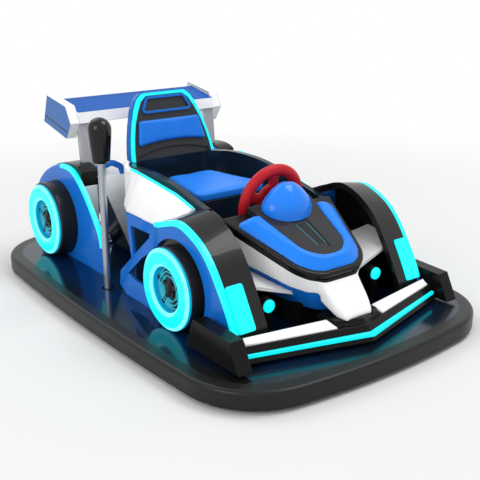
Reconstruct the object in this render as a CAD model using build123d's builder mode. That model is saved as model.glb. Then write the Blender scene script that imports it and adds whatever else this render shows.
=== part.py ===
from build123d import *
import math
import os

# A ride car on an oblong rubber bumper ring.
# Forward = -Y, driver's left = +X, up = +Z, origin on the floor under the middle of the ring.
# Millimetres throughout.

# ---------------------------------------------------------------- driving sizes
base_width = 1200.0          # over the rubber ring, at the middle of the long sides
base_length = 1776.0         # over the rubber ring, at the middle of the ends
side_bow = 33.7              # how far the long sides draw in towards the corners
end_bow = 57.9               # the same for the ends
corner_radius = 260.0
ring_height = 61.4
ring_band = 46.0             # width of the ring seen from above
ring_ledge = 12.0            # inner ledge that carries the deck
ring_top_round = 14.0
ring_foot_round = 6.0
ring_clearance = 12.0        # floor to the underside of the ring
deck_thickness = 8.0
wall = 8.0                   # body shell

fit = 0.05                   # radial running clearance at pins
wheel_gap = 5.0              # free air around a turning wheel

low_centre = (Align.CENTER, Align.CENTER, Align.MIN)

ring_bottom = ring_clearance
deck_top = ring_bottom + ring_height
deck_bottom = deck_top - deck_thickness


def lv(h):
    """Level of a point given its height above the underside of the ring."""
    return ring_bottom + h


# ---------------------------------------------------------------- base
def outline_sketch(half_w, half_l, radius):
    """Oblong with bowed sides and round corners."""
    cx = half_w - side_bow
    cy = half_l - end_bow
    with BuildSketch() as s:
        with BuildLine():
            ThreePointArc((-cx, cy), (0, half_l), (cx, cy))
            ThreePointArc((cx, cy), (half_w, 0), (cx, -cy))
            ThreePointArc((cx, -cy), (0, -half_l), (-cx, -cy))
            ThreePointArc((-cx, -cy), (-half_w, 0), (-cx, cy))
        make_face()
        fillet(s.vertices(), radius)
    return s.sketch


deck_half_w = base_width / 2 - ring_band
deck_half_l = base_length / 2 - ring_band
ring_outer = outline_sketch(base_width / 2, base_length / 2, corner_radius)
deck_outline = outline_sketch(deck_half_w, deck_half_l, corner_radius - ring_band)
ledge_outline = outline_sketch(
    deck_half_w - ring_ledge, deck_half_l - ring_ledge, corner_radius - ring_band - ring_ledge
)

with BuildPart() as bumper_ring:
    with BuildSketch(Plane.XY.offset(ring_bottom)):
        add(ring_outer)
    extrude(amount=ring_height)
    fillet(bumper_ring.faces().sort_by(Axis.Z)[-1].edges(), ring_top_round)
    fillet(bumper_ring.faces().sort_by(Axis.Z)[0].edges(), ring_foot_round)
    with BuildSketch(Plane.XY.offset(ring_bottom)):
        add(ledge_outline)
    extrude(amount=ring_height, mode=Mode.SUBTRACT)
    with BuildSketch(Plane.XY.offset(deck_bottom)):
        add(deck_outline)
    extrude(amount=deck_thickness, mode=Mode.SUBTRACT)

# ---------------------------------------------------------------- running gear sizes
steer_y = -450.0             # swivel axis of the driven wheel
front_wheel_r = 70.0
front_wheel_w = 40.0
front_axle_r = 9.0
rear_wheel_r = 92.0
rear_wheel_w = 44.0
rear_wheel_x = 332.0
rear_wheel_y = 600.0
wheel_well = 3.0             # more air than wheel_gap where the deck is cut for a wheel
fork_leg = 7.0
fork_half = front_wheel_w / 2 + wheel_gap + fork_leg
swivel_sweep = math.hypot(front_wheel_r, fork_half)
swivel_hole = swivel_sweep + wheel_gap + wheel_well + 1.0

rail_x = 210.0
rail_w = 40.0
rail_h = 38.0
rail_top = deck_bottom
rail_inset = 170.0           # how far the frame ends stay inside the ring
rail_end = base_length / 2 - rail_inset
front_beam_y = -250.0
rear_beam_y = 330.0

lever_x = -428.0
lever_y = 122.5
lever_r = 13.5
lever_swing = 12.0           # each way, degrees
lever_pin_r = 6.0
lever_pin_half = 35.0
lever_pivot_z = deck_bottom - 18.0
lever_margin = 7.0
lever_travel = (deck_top - lever_pivot_z) * math.tan(math.radians(lever_swing))
lever_slot = 2 * (lever_r + lever_margin + lever_travel)
lug_x = 30.0
lug_thick = 10.0
lug_l = 44.0
lug_h = 36.0

with BuildPart() as deck:
    with BuildSketch(Plane.XY.offset(deck_bottom)):
        add(deck_outline)
        with Locations((0, steer_y)):
            Circle(swivel_hole, mode=Mode.SUBTRACT)
        with Locations((-rear_wheel_x, rear_wheel_y), (rear_wheel_x, rear_wheel_y)):
            Rectangle(
                rear_wheel_w + 2 * (wheel_gap + wheel_well), 2 * (rear_wheel_r + wheel_gap + wheel_well),
                mode=Mode.SUBTRACT,
            )
        with Locations((lever_x, lever_y)):
            SlotOverall(lever_slot, 2 * (lever_r + lever_margin) - 2, rotation=90, mode=Mode.SUBTRACT)
    extrude(amount=deck_thickness)

axle_beam = 50.0
outrigger_drop = 12.0
with BuildPart() as chassis_frame:
    with BuildSketch(Plane.XY.offset(rail_top - rail_h)):
        with Locations((-rail_x, 0), (rail_x, 0)):
            Rectangle(rail_w, 2 * rail_end)
        with Locations((0, -rail_end), (0, front_beam_y), (0, rear_beam_y), (0, rail_end)):
            Rectangle(2 * rail_x, rail_w)
        with Locations((0, rear_wheel_y)):
            Rectangle(2 * rail_x, axle_beam)
    extrude(amount=rail_h)
    # outrigger and lugs that carry the lever pin
    with Locations((lever_x - lug_x, lever_y, lever_pivot_z), (lever_x + lug_x, lever_y, lever_pivot_z)):
        Box(lug_thick, lug_l, lug_h)
    with BuildSketch(Plane.XY.offset(rail_top - outrigger_drop)):
        with Locations((-(abs(lever_x) + rail_x) / 2, lever_y + lug_l)):
            Rectangle(abs(lever_x) - rail_x, rail_w)
        with Locations((lever_x, lever_y + lug_l * 0.8)):
            Rectangle(2 * lug_x + lug_thick, rail_w * 0.75)
    extrude(amount=outrigger_drop)
    with Locations((lever_x, lever_y, lever_pivot_z)):
        Cylinder(lever_pin_r + fit, 2 * lever_pin_half + 20, rotation=(0, 90, 0), mode=Mode.SUBTRACT)

axle_r = 10.0
axle_tube_r = 14.0
axle_stub = 12.0             # axle end beyond the wheel
pedestal_w = 30.0
pedestal_l = 60.0
rear_axle_z = rear_wheel_r
axle_tube_half = rear_wheel_x - rear_wheel_w / 2 - wheel_gap
axle_half = rear_wheel_x + rear_wheel_w / 2 + axle_stub
with BuildPart() as rear_axle:
    with BuildSketch(Plane.YZ):
        with Locations((rear_wheel_y, rear_axle_z)):
            Circle(axle_tube_r)
    extrude(amount=axle_tube_half, both=True)
    with BuildSketch(Plane.YZ):
        with Locations((rear_wheel_y, rear_axle_z)):
            Circle(axle_r)
    extrude(amount=axle_half, both=True)
    with Locations((-rail_x, rear_wheel_y, deck_top), (rail_x, rear_wheel_y, deck_top)):
        Box(
            pedestal_w, pedestal_l, rear_axle_z - deck_top,
            align=low_centre,
        )


def wheel_solid(x, y, z, radius, width, bore):
    """A solid-tyred wheel turned about the X axis, with a dished web."""
    web_r = radius * 0.62
    dish = width * 0.18
    boss_r = bore * 1.9
    with BuildPart() as w:
        with BuildSketch(Plane.YZ.offset(x)):
            with Locations((y, z)):
                Circle(radius)
        extrude(amount=width / 2, both=True)
        fillet(w.edges().filter_by(GeomType.CIRCLE), width * 0.2)
        for side in (-1, 1):
            with BuildSketch(Plane.YZ.offset(x + side * width / 2)):
                with Locations((y, z)):
                    Circle(web_r)
                    Circle(boss_r, mode=Mode.SUBTRACT)
            extrude(amount=-side * dish, mode=Mode.SUBTRACT)
        with BuildSketch(Plane.YZ.offset(x)):
            with Locations((y, z)):
                Circle(bore)
        extrude(amount=width, both=True, mode=Mode.SUBTRACT)
    return w.part


wheel_bore_r = axle_r + fit
rear_wheel_size = (rear_wheel_r, rear_wheel_w, wheel_bore_r)
left_wheel_form = wheel_solid(rear_wheel_x, rear_wheel_y, rear_axle_z, *rear_wheel_size)
right_wheel_form = wheel_solid(-rear_wheel_x, rear_wheel_y, rear_axle_z, *rear_wheel_size)
drive_wheel_form = wheel_solid(0, steer_y, front_wheel_r, front_wheel_r, front_wheel_w, front_axle_r + fit)
with BuildPart() as rear_wheel_left:
    add(left_wheel_form)
with BuildPart() as rear_wheel_right:
    add(right_wheel_form)
with BuildPart() as drive_wheel:
    add(drive_wheel_form)

crown_bottom = 2 * front_wheel_r + wheel_gap + 1
crown_h = 10.0
crown_r = 46.0
crown_top = crown_bottom + crown_h
stem_r = 14.0
stem_h = 34.0
leg_top_half = 22.0
leg_foot_half = 16.0
leg_foot_drop = 12.0
with BuildPart() as drive_fork:
    for sx in (-1, 1):
        with BuildSketch(Plane.YZ.offset(sx * (front_wheel_w / 2 + wheel_gap + fork_leg / 2))):
            with BuildLine():
                Polyline(
                    (steer_y - leg_top_half, crown_top), (steer_y + leg_top_half, crown_top),
                    (steer_y + leg_foot_half, front_wheel_r - leg_foot_drop),
                    (steer_y - leg_foot_half, front_wheel_r - leg_foot_drop), close=True,
                )
            make_face()
        extrude(amount=fork_leg / 2, both=True)
    with Locations((0, steer_y, crown_bottom)):
        Cylinder(crown_r, crown_h, align=low_centre)
    with Locations((0, steer_y, crown_top)):
        Cylinder(stem_r, stem_h, align=low_centre)
    with BuildSketch(Plane.YZ):
        with Locations((steer_y, front_wheel_r)):
            Circle(front_axle_r)
    extrude(amount=fork_half, both=True)

# black skirt under the nose: a box that also carries the swivel bearing
skirt_half = 104.0
skirt_front = -572.0
skirt_rear = -338.0
skirt_mid = (skirt_front + skirt_rear) / 2
skirt_top = crown_top + 2 * fit + wall
with BuildPart() as skirt_block:
    with Locations((0, skirt_mid, deck_top)):
        Box(2 * skirt_half, skirt_rear - skirt_front, skirt_top - deck_top, align=low_centre)

with BuildPart() as nose_skirt:
    add(skirt_block.part)
    with Locations((0, skirt_mid, deck_top)):
        Box(
            2 * (skirt_half - wall), skirt_rear - skirt_front - 2 * wall, skirt_top - wall - deck_top,
            align=low_centre, mode=Mode.SUBTRACT,
        )
    with Locations((0, steer_y, skirt_top)):
        Cylinder(stem_r + fit, 3 * wall, mode=Mode.SUBTRACT)

# ---------------------------------------------------------------- nose
hood_slope = 0.42
hood_seat_level = 520.0      # height of the hood seat plane at y = 0
hood_top_level = 540.0
body_front = -330.0          # where the nose ends and the cockpit tub begins
hood_front_y = -646.0


def seat(y):
    """Level of the plane on which the hood sits."""
    return lv(hood_seat_level + hood_slope * y)


hood_angle = math.degrees(math.atan(hood_slope))
hood_rear_y = body_front - 10
hood_run = (hood_rear_y - hood_front_y) / math.cos(math.radians(hood_angle))
hood_end = hood_run + 26     # outlines run on behind the hood and are trimmed there
seat_air = 0.3               # clearance of panels that only lie against the shell


def raked_plane(y, z, slope):
    """Plane through a point of the nose, rising to the rear by a slope."""
    angle = math.atan(slope)
    return Plane(origin=(0, y, z), x_dir=(1, 0, 0), z_dir=(0, -math.sin(angle), math.cos(angle)))


hood_plane = raked_plane(hood_front_y, seat(hood_front_y), hood_slope)
shoulder_plane = raked_plane(hood_front_y, lv(192.0), 0.247)
keel_plane = raked_plane(hood_front_y, lv(130.0), 0.112)


def hood_u(front_v, front_half, side_v, side_half, rear_v, rear_half, radius, side_radius, grow=0.0):
    """Tapered outline in a raked plane: a broad U, rounded at the front and where its sides turn."""
    with BuildSketch() as s:
        with BuildLine():
            Polyline(
                (-front_half - grow, front_v - grow), (front_half + grow, front_v - grow),
                (side_half + grow, side_v), (rear_half + grow, rear_v),
                (-rear_half - grow, rear_v), (-side_half - grow, side_v), close=True,
            )
        make_face()
        fillet(s.vertices().group_by(Axis.Y)[0], radius)
        fillet(s.vertices().filter_by(lambda v: abs(v.Y - side_v) < 1), side_radius)
    return s.sketch


def shell_loft(top_plane, top_size, low_plane, low_size, grow):
    """Shell between two broad U outlines on raked planes."""
    with BuildPart() as band:
        with BuildSketch(top_plane):
            add(hood_u(*top_size, grow=grow))
        with BuildSketch(low_plane):
            add(hood_u(*low_size, grow=grow))
        loft(ruled=True)
    return band.part


# front, half width there, turn, half width there, rear, half width there, radii
hull_top_size = (1.0, 97.0, 66.0, 148.0, hood_end, 246.0, 104.0, 130.0)
hull_mid_size = (2.0, 86.0, 86.0, 139.0, hood_end, 226.0, 92.0, 130.0)
hull_low_size = (16.0, 62.0, 86.0, 96.0, hood_end, 168.0, 70.0, 110.0)
# tongue sections: y, top half width, top level, low half width, low level
tongue_table = [
    (-634.0, 84.0, seat(-634.0) - 4, 82.0, lv(172.0)),
    (-700.0, 76.0, lv(183.0), 70.0, lv(134.0)),
    (-738.0, 62.0, lv(147.0), 57.0, lv(128.0)),
]
tongue_round = 9.0
tip_low_level = lv(160.0)     # the tip's lower edges lie under this level
tongue_air = 1.5             # shut line round the tip


def tongue_loft(inset, rounded):
    """Loft of the sloping tip of the nose, its upper edges rounded."""
    with BuildPart() as tip:
        for row in tongue_table:
            with BuildSketch(Plane.XZ.offset(-row[0])):
                with BuildLine():
                    Polyline(
                        (-(row[1] - inset), row[2] - inset), (row[1] - inset, row[2] - inset),
                        (row[3] - inset, row[4] + inset), (-(row[3] - inset), row[4] + inset), close=True,
                    )
                make_face()
        loft(ruled=True)
        if rounded > 0:
            long_edges = tip.edges().filter_by(lambda e: abs((e @ 1 - e @ 0).Y) > 5)
            end_edge = tip.faces().sort_by(Axis.Y)[0].edges().sort_by(Axis.Z)[-1:]
            fillet(long_edges.filter_by(lambda e: e.center().Z > tip_low_level) + end_edge, rounded)
    return tip.part


hull_white = shell_loft(hood_plane, hull_top_size, shoulder_plane, hull_mid_size, 0)
hull_blue = shell_loft(shoulder_plane, hull_mid_size, keel_plane, hull_low_size, 0)
white_core = shell_loft(hood_plane, hull_top_size, shoulder_plane, hull_mid_size, -wall)
blue_core = shell_loft(shoulder_plane, hull_mid_size, keel_plane, hull_low_size, -wall)
tongue_form = tongue_loft(0, tongue_round)
with BuildPart() as nose_end:
    with Locations((0, body_front, lv(300))):
        Box(900, 300, 700, align=(Align.CENTER, Align.MIN, Align.CENTER))

# the outside of the nose, a little proud, for what lies against it
nose_outside = [
    shell_loft(hood_plane, hull_top_size, shoulder_plane, hull_mid_size, seat_air),
    shell_loft(shoulder_plane, hull_mid_size, keel_plane, hull_low_size, seat_air),
    tongue_loft(-tongue_air, 0),
]

with BuildPart() as nose_cone:
    add(hull_white)
    add(tongue_form)
    add(white_core, mode=Mode.SUBTRACT)
    add(nose_end.part, mode=Mode.SUBTRACT)

with BuildPart() as nose_side:
    add(hull_blue)
    add(nose_outside[-1], mode=Mode.SUBTRACT)
    add(blue_core, mode=Mode.SUBTRACT)
    add(skirt_block.part, mode=Mode.SUBTRACT)
    add(nose_end.part, mode=Mode.SUBTRACT)

# ---------------------------------------------------------------- hood
rim_thick = (hood_top_level - hood_seat_level) * math.cos(math.radians(hood_angle))
rim_round = 9.0
pad_rise = 28.0
console_rise = 22.0
console_groove = 3.0
rim_size = (0.0, 99.0, 62.0, 149.0, hood_end, 247.0, 108.0, 130.0)
pad_foot_size = (14.0, 88.0, 68.0, 136.0, 315.0, 220.0, 96.0, 120.0)
pad_crest_size = (46.0, 62.0, 96.0, 108.0, 303.0, 172.0, 92.0, 100.0)
console_size = (62.0, 40.0, 108.0, 90.0, hood_end, 137.0, 86.0, 86.0)
pad_corner = 22.0            # rounding of the pad's two rear ends
groove_size = (92.0, 20.0, 120.0, 24.0, 262.0, 34.0, 4.0, 4.0)

with BuildPart() as behind_hood:
    with Locations((0, body_front, lv(400))):
        Box(900, 300, 600, align=(Align.CENTER, Align.MIN, Align.CENTER))

with BuildPart() as hood_rim:
    with BuildSketch(hood_plane):
        add(hood_u(*rim_size))
    extrude(amount=rim_thick)
    fillet(hood_rim.faces().sort_by(Axis((0, 0, 0), hood_plane.z_dir))[-1].edges(), rim_round)
    add(behind_hood.part, mode=Mode.SUBTRACT)

with BuildPart() as pad_block:
    with BuildSketch(hood_plane.offset(rim_thick)) as pad_foot_sk:
        add(hood_u(*pad_foot_size))
        fillet(pad_foot_sk.vertices().group_by(Axis.Y)[-1], pad_corner)
    with BuildSketch(hood_plane.offset(rim_thick + pad_rise)) as pad_crest_sk:
        add(hood_u(*pad_crest_size))
        fillet(pad_crest_sk.vertices().group_by(Axis.Y)[-1], pad_corner)
    loft(ruled=True)
    with BuildSketch(hood_plane.offset(rim_thick)):
        add(hood_u(*console_size))
    extrude(amount=2 * pad_rise, mode=Mode.SUBTRACT)

with BuildPart() as hood_pad:
    add(pad_block.part)
    fillet(hood_pad.faces().sort_by(Axis((0, 0, 0), hood_plane.z_dir))[-1].edges(), 5)

with BuildPart() as hood_console:
    with BuildSketch(hood_plane.offset(rim_thick)):
        add(hood_u(*console_size))
    extrude(amount=console_rise)
    with BuildSketch(hood_plane.offset(rim_thick + console_rise)):
        add(hood_u(*groove_size))
    extrude(amount=-console_groove, mode=Mode.SUBTRACT)
    add(pad_block.part, mode=Mode.SUBTRACT)
    add(behind_hood.part, mode=Mode.SUBTRACT)

# ---------------------------------------------------------------- dome over the column
dome_y = -372.0
dome_z = lv(404.0)
dome_h = 93.0
dome_r = 98.0
dome_squeeze = 0.7           # depth over width
dome_foot = 60.0             # how far the form runs below the console before it is trimmed
with BuildPart() as dome_form:
    with BuildSketch(Plane.XZ):
        with BuildLine():
            Spline(
                (dome_r, 0), (0.82 * dome_r, 0.48 * dome_h), (0.42 * dome_r, 0.88 * dome_h), (0, dome_h),
                tangents=((0, 1), (-1, 0)),
            )
            Polyline((0, dome_h), (0, -dome_foot), (dome_r, -dome_foot), (dome_r, 0))
        make_face()
    revolve(axis=Axis.Z)
    scale(by=(1.0, dome_squeeze, 1.0))

with BuildPart() as dash_dome:
    with Locations((0, dome_y, dome_z)):
        add(dome_form.part)
    with BuildSketch(hood_plane.offset(rim_thick + console_rise)):
        with Locations((0, hood_run)):
            Rectangle(600, 900)
    extrude(amount=-300, mode=Mode.SUBTRACT)
    add(behind_hood.part, mode=Mode.SUBTRACT)

# ---------------------------------------------------------------- hand wheel and column
wheel_c_y = -290.0
wheel_c_z = lv(412.0)
column_rise = 10.0           # column angle above the horizontal, degrees
wheel_ring_r = 120.0
wheel_rim_r = 18.0
wheel_hub_r = 38.0
wheel_hub_half = 8.0
spoke_w = 40.0
spoke_half = 5.0
column_r = 16.0
column_pin_r = 8.0
column_pin_end = 6.0
wheel_plane = Plane(
    origin=(0, wheel_c_y, wheel_c_z), x_dir=(1, 0, 0),
    z_dir=(0, math.cos(math.radians(column_rise)), math.sin(math.radians(column_rise))),
)
with BuildPart() as steering_wheel:
    with BuildSketch(wheel_plane):
        Circle(wheel_hub_r)
    extrude(amount=wheel_hub_half, both=True)
    with BuildSketch(wheel_plane):
        for spoke in (90, 210, 330):
            with PolarLocations(wheel_ring_r / 2, 1, start_angle=spoke):
                Rectangle(wheel_ring_r, spoke_w)
    extrude(amount=spoke_half, both=True)
    with BuildSketch(Plane(origin=wheel_plane.origin, x_dir=(1, 0, 0), z_dir=wheel_plane.y_dir * -1)):
        with Locations((wheel_ring_r, 0)):
            Circle(wheel_rim_r)
    revolve(axis=Axis(wheel_plane.origin, wheel_plane.z_dir), revolution_arc=360)
    with Locations(wheel_plane):
        Cylinder(column_pin_r + fit, 4 * wheel_hub_half, mode=Mode.SUBTRACT)

with BuildPart() as steering_column:
    with BuildSketch(wheel_plane.offset(-wheel_hub_half - fit)):
        Circle(column_r)
    extrude(amount=-90)
    with BuildSketch(wheel_plane.offset(-wheel_hub_half - fit)):
        Circle(column_pin_r)
    extrude(amount=2 * wheel_hub_half - column_pin_end + 4)
    with Locations((0, body_front, wheel_c_z)):
        Box(400, 200, 400, align=(Align.CENTER, Align.MAX, Align.CENTER), mode=Mode.SUBTRACT)

# ---------------------------------------------------------------- cockpit tub
tub_half = 240.0
tub_rear = 372.0
tub_wall = 24.0
tub_back_wall = 50.0
tub_round = 150.0
floor_z = lv(120.0)
pan_top = lv(382.0)
pan_front = -76.0
pan_sheet = 8.0
back_seat_z = lv(464.0)
rim_rear_y = 283.0
tub_above = 1000.0           # level above everything, for trimming
# y, level of the tub's rim
rim_line = [
    (body_front, seat(body_front)), (-268.0, lv(403.0)), (-183.0, lv(421.0)), (-111.0, lv(438.0)),
    (-36.0, lv(455.0)), (58.0, lv(468.0)), (135.0, lv(471.0)), (rim_rear_y, back_seat_z),
]


def tub_prism(inset, front_inset, back_inset, bottom, top):
    """Upright prism of the tub's plan, moved inwards by the given wall thicknesses."""
    y_front = body_front + front_inset
    y_rear = tub_rear - back_inset
    with BuildPart() as p:
        with Locations((0, (y_front + y_rear) / 2, bottom)):
            Box(2 * (tub_half - inset), y_rear - y_front, top - bottom, align=low_centre)
        fillet(p.edges().filter_by(Axis.Z).group_by(Axis.Y)[-1], tub_round - back_inset)
    return p.part


tub_block = tub_prism(0, 0, 0, deck_top, lv(500))
tub_cavity = tub_prism(tub_wall, wall, tub_back_wall, deck_top, tub_above)

with BuildPart() as seat_tub:
    add(tub_block)
    add(tub_cavity, mode=Mode.SUBTRACT)
    with BuildSketch(Plane.YZ):
        with BuildLine():
            Spline(*rim_line)
            Polyline(
                rim_line[-1], (tub_rear + 40, back_seat_z), (tub_rear + 40, tub_above),
                (body_front - 40, tub_above), (body_front - 40, rim_line[0][1]), rim_line[0],
            )
        make_face()
    extrude(amount=2 * tub_half, both=True, mode=Mode.SUBTRACT)
    # opening through the front wall towards the pedals
    with Locations((0, body_front, floor_z)):
        Box(300, 4 * wall, 150, align=low_centre, mode=Mode.SUBTRACT)

# bent sheet inside the tub: foot well floor, seat front and seat pan
with BuildPart() as seat_pan:
    with BuildSketch(Plane.YZ):
        with BuildLine():
            Polyline(
                (body_front + wall, floor_z - pan_sheet), (body_front + wall, floor_z), (pan_front, floor_z),
                (pan_front, pan_top), (tub_rear, pan_top), (tub_rear, pan_top - pan_sheet),
                (pan_front + pan_sheet, pan_top - pan_sheet), (pan_front + pan_sheet, floor_z - pan_sheet),
                close=True,
            )
        make_face()
    extrude(amount=tub_half, both=True)
    add(tub_cavity, mode=Mode.INTERSECT)

battery_l = 240.0
battery_w = 300.0
battery_h = 170.0
with BuildPart() as battery_block:
    with Locations((0, (pan_front + tub_rear) / 2 - 38, deck_top)):
        Box(battery_w, battery_l, battery_h, align=low_centre)

cushion_rear_y = 222.0
cushion_rear_half = 104.0
cushion_front_half = 162.0
cushion_thick = 30.0
cushion_corner = 24.0
cushion_round = 10.0
with BuildPart() as seat_cushion:
    with BuildSketch(Plane.XY.offset(pan_top)) as cushion_sk:
        with BuildLine():
            Polyline(
                (-cushion_front_half, pan_front), (cushion_front_half, pan_front),
                (cushion_rear_half, cushion_rear_y), (-cushion_rear_half, cushion_rear_y), close=True,
            )
        make_face()
        fillet(cushion_sk.vertices(), cushion_corner)
    extrude(amount=cushion_thick)
    fillet(seat_cushion.faces().sort_by(Axis.Z)[-1].edges(), cushion_round)

# ---------------------------------------------------------------- backrest
rake = 16.6                  # lean from the vertical, degrees
back_foot_y = 314.0
cos_rake = math.cos(math.radians(rake))
back_plane = Plane(
    origin=(0, back_foot_y, back_seat_z), x_dir=(1, 0, 0),
    z_dir=(0, -cos_rake, math.sin(math.radians(rake))),
)


def up_back(h):
    """Distance up the backrest face of a point at height h over the ring's underside."""
    return (lv(h) - back_seat_z) / cos_rake


# half width, distance up the face
back_rows = [
    (192.0, -20.0), (186.0, up_back(500.0)), (176.0, up_back(550.0)), (162.0, up_back(600.0)),
    (142.0, up_back(655.0)), (122.0, up_back(690.0)), (96.0, up_back(711.0)),
]
back_shoulder_v = up_back(640.0)   # above this the outline also grows upwards


def back_outline(grow):
    """Tapered outline of the backrest, moved outwards by a given amount."""
    pts = [(x + grow, v + (grow if v > back_shoulder_v else 0)) for x, v in back_rows]
    with BuildSketch() as s:
        with BuildLine():
            Polyline(*pts, *[(-x, v) for x, v in reversed(pts)], close=True)
        make_face()
        fillet(s.vertices().filter_by(lambda v: v.Y > back_shoulder_v), 20)
    return s.sketch


led_w = 11.0
led_proud = 2.0
panel_thick = 14.0
shell_thick = 34.0
shell_margin = 4.0
shell_round = 8.0
arch_depth = 8.0
arch_half = 168.0
arch_foot_v = up_back(478.0)
arch_top_v = up_back(503.0)
shell_outline = back_outline(shell_margin)
led_outline = back_outline(0)
panel_outline = back_outline(-led_w)

with BuildPart() as back_cut:
    with Locations((0, back_foot_y, back_seat_z)):
        Box(900, 900, 200, align=(Align.CENTER, Align.CENTER, Align.MAX))

with BuildPart() as backrest_shell:
    with BuildSketch(back_plane.offset(-panel_thick)):
        add(shell_outline)
    extrude(amount=-shell_thick)
    fillet(backrest_shell.faces().sort_by(Axis(back_plane.origin, back_plane.z_dir))[0].edges(), shell_round)
    add(back_cut.part, mode=Mode.SUBTRACT)

with BuildPart() as backrest_panel:
    with BuildSketch(back_plane):
        add(panel_outline)
    extrude(amount=-panel_thick)
    # arched niche that carries the cockpit's rear wall up into the backrest
    with BuildSketch(back_plane):
        with BuildLine():
            ThreePointArc((-arch_half, arch_foot_v), (0, arch_top_v), (arch_half, arch_foot_v))
            Polyline((arch_half, arch_foot_v), (arch_half, -60), (-arch_half, -60), (-arch_half, arch_foot_v))
        make_face()
    extrude(amount=-arch_depth, mode=Mode.SUBTRACT)
    add(back_cut.part, mode=Mode.SUBTRACT)

with BuildPart() as backrest_led:
    with BuildSketch(back_plane.offset(-panel_thick)):
        add(led_outline)
        add(panel_outline, mode=Mode.SUBTRACT)
    extrude(amount=panel_thick + led_proud)
    add(back_cut.part, mode=Mode.SUBTRACT)

pad_low = up_back(512.0)
pad_high = up_back(612.0)
pad_low_half = 161.0
pad_high_half = 140.0
pad_arch = 13.0              # how far the lower edge rises in the middle
back_pad_thick = 14.0
with BuildPart() as backrest_pad:
    with BuildSketch(back_plane) as pad_sk:
        with BuildLine():
            ThreePointArc((-pad_low_half, pad_low), (0, pad_low + pad_arch), (pad_low_half, pad_low))
            Polyline(
                (pad_low_half, pad_low), (pad_high_half, pad_high), (-pad_high_half, pad_high),
                (-pad_low_half, pad_low),
            )
        make_face()
        fillet(pad_sk.vertices(), 12)
    extrude(amount=back_pad_thick)
    fillet(backrest_pad.faces().sort_by(Axis(back_plane.origin, back_plane.z_dir))[-1].edges(), 6)

head_low_half = 122.0
head_high_half = 88.0
head_band = 10.0
head_thick = 8.0
with BuildPart() as headrest_frame:
    with BuildSketch(back_plane) as frame_sk:
        with BuildLine():
            Polyline(
                (-head_low_half, up_back(634)), (head_low_half, up_back(634)),
                (head_high_half, up_back(697)), (-head_high_half, up_back(697)), close=True,
            )
        make_face()
        fillet(frame_sk.vertices(), 16)
        offset(amount=-head_band, mode=Mode.SUBTRACT)
    extrude(amount=head_thick)

# ---------------------------------------------------------------- side pods
light_out = 18.0             # light line beyond the tub's side
light_size = 7.0
pod_light_x = tub_half + light_out
pod_reach = 90.0             # widest point of the pod beyond the tub's side
pod_x = tub_half + pod_reach
pod_root = tub_half - 60.0
pod_bulge = 7.0
# y, light line level, reach beyond the tub's side, lower edge level
pod_table = [
    (-185.0, lv(404.0), 26.0, lv(392.0)),
    (-150.0, lv(413.0), 60.0, lv(367.0)),
    (-115.0, lv(422.0), 80.0, lv(344.0)),
    (-80.0, lv(430.0), pod_reach, lv(327.0)),
    (30.0, lv(443.0), pod_reach, lv(328.0)),
    (140.0, lv(455.0), pod_reach, lv(330.0)),
    (185.0, lv(459.0), 74.0, lv(341.0)),
    (221.0, lv(461.0), 36.0, lv(366.0)),
]

with BuildPart() as side_pod_left:
    for row in pod_table:
        x_out = tub_half + row[2]
        arc_x = (pod_light_x + x_out) / 2 + pod_bulge * row[2] / pod_reach
        arc_z = (row[1] + row[3]) / 2 + pod_bulge * row[2] / pod_reach
        with BuildSketch(Plane.XZ.offset(-row[0])):
            with BuildLine():
                ThreePointArc((pod_light_x, row[1]), (arc_x, arc_z), (x_out, row[3]))
                Polyline((x_out, row[3]), (pod_root, row[3]), (pod_root, row[1]), (pod_light_x, row[1]))
            make_face()
    loft(ruled=True)
    add(tub_block, mode=Mode.SUBTRACT)

with BuildPart() as pod_light_left:
    for row in pod_table:
        with BuildSketch(Plane.XZ.offset(-row[0])):
            with Locations((pod_light_x - light_size / 2, row[1] + light_size / 2)):
                Rectangle(light_size, light_size)
    loft(ruled=True)

# ---------------------------------------------------------------- front fender sizes
fender_in = 291.0
fender_out = 411.0
side_thick = 14.0
web_thick = 8.0
side_x = fender_out - side_thick - 2     # inner face of the coloured side plate
side_face = fender_out - 2
fender_rear_y = -205.0
front_ring_y = -315.0
front_ring_z = lv(201.0)
front_ring_r = 137.0
rear_ring_y = 597.0
rear_ring_z = lv(213.0)
rear_ring_r = 141.0
ring_hole = 0.56             # hole over ring radius
ring_face_x = 460.0
ring_thick = 17.0
ring_round = 4.0
ring_x = ring_face_x - ring_thick
arch_r = 158.0               # wheel opening in the side plate
band_thick = 22.0
light_deep = 18.0
# y, level: crest of the fender at its outer and inner edge, rear to front
fender_crest_out = [
    (fender_rear_y, lv(392.0)), (-281.0, lv(416.0)), (-335.0, lv(424.0)), (-390.0, lv(411.0)),
    (-458.0, lv(378.0)), (-512.0, lv(328.0)), (-555.0, lv(268.0)), (-597.0, lv(200.0)), (-625.0, lv(140.0)),
]
fender_crest_in = [
    (fender_rear_y, lv(396.0)), (-278.0, lv(428.0)), (-334.0, lv(441.0)), (-391.0, lv(430.0)),
    (-457.0, lv(397.0)), (-512.0, lv(348.0)), (-560.0, lv(280.0)), (-603.0, lv(205.0)), (-635.0, lv(145.0)),
]
fender_foot_y = -640.0
fender_foot_in_y = -646.0


def towards(row, centre_y, centre_z, depth):
    """The same row of points moved towards a centre by a given depth."""
    out = []
    for y, z in row:
        d = math.hypot(centre_y - y, centre_z - z)
        out.append((y + (centre_y - y) * depth / d, z + (centre_z - z) * depth / d))
    return out


# slanted side frame: y, top x, top level, foot x
frame_table = [
    (140.0, pod_x, lv(330.0), fender_out - 8),
    (-80.0, pod_x, lv(327.0), fender_out - 8),
    (-157.0, 392.0, lv(374.0), side_face),
    (fender_rear_y, side_face, lv(390.0), side_face),
]
frame_thick = 12.0
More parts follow.
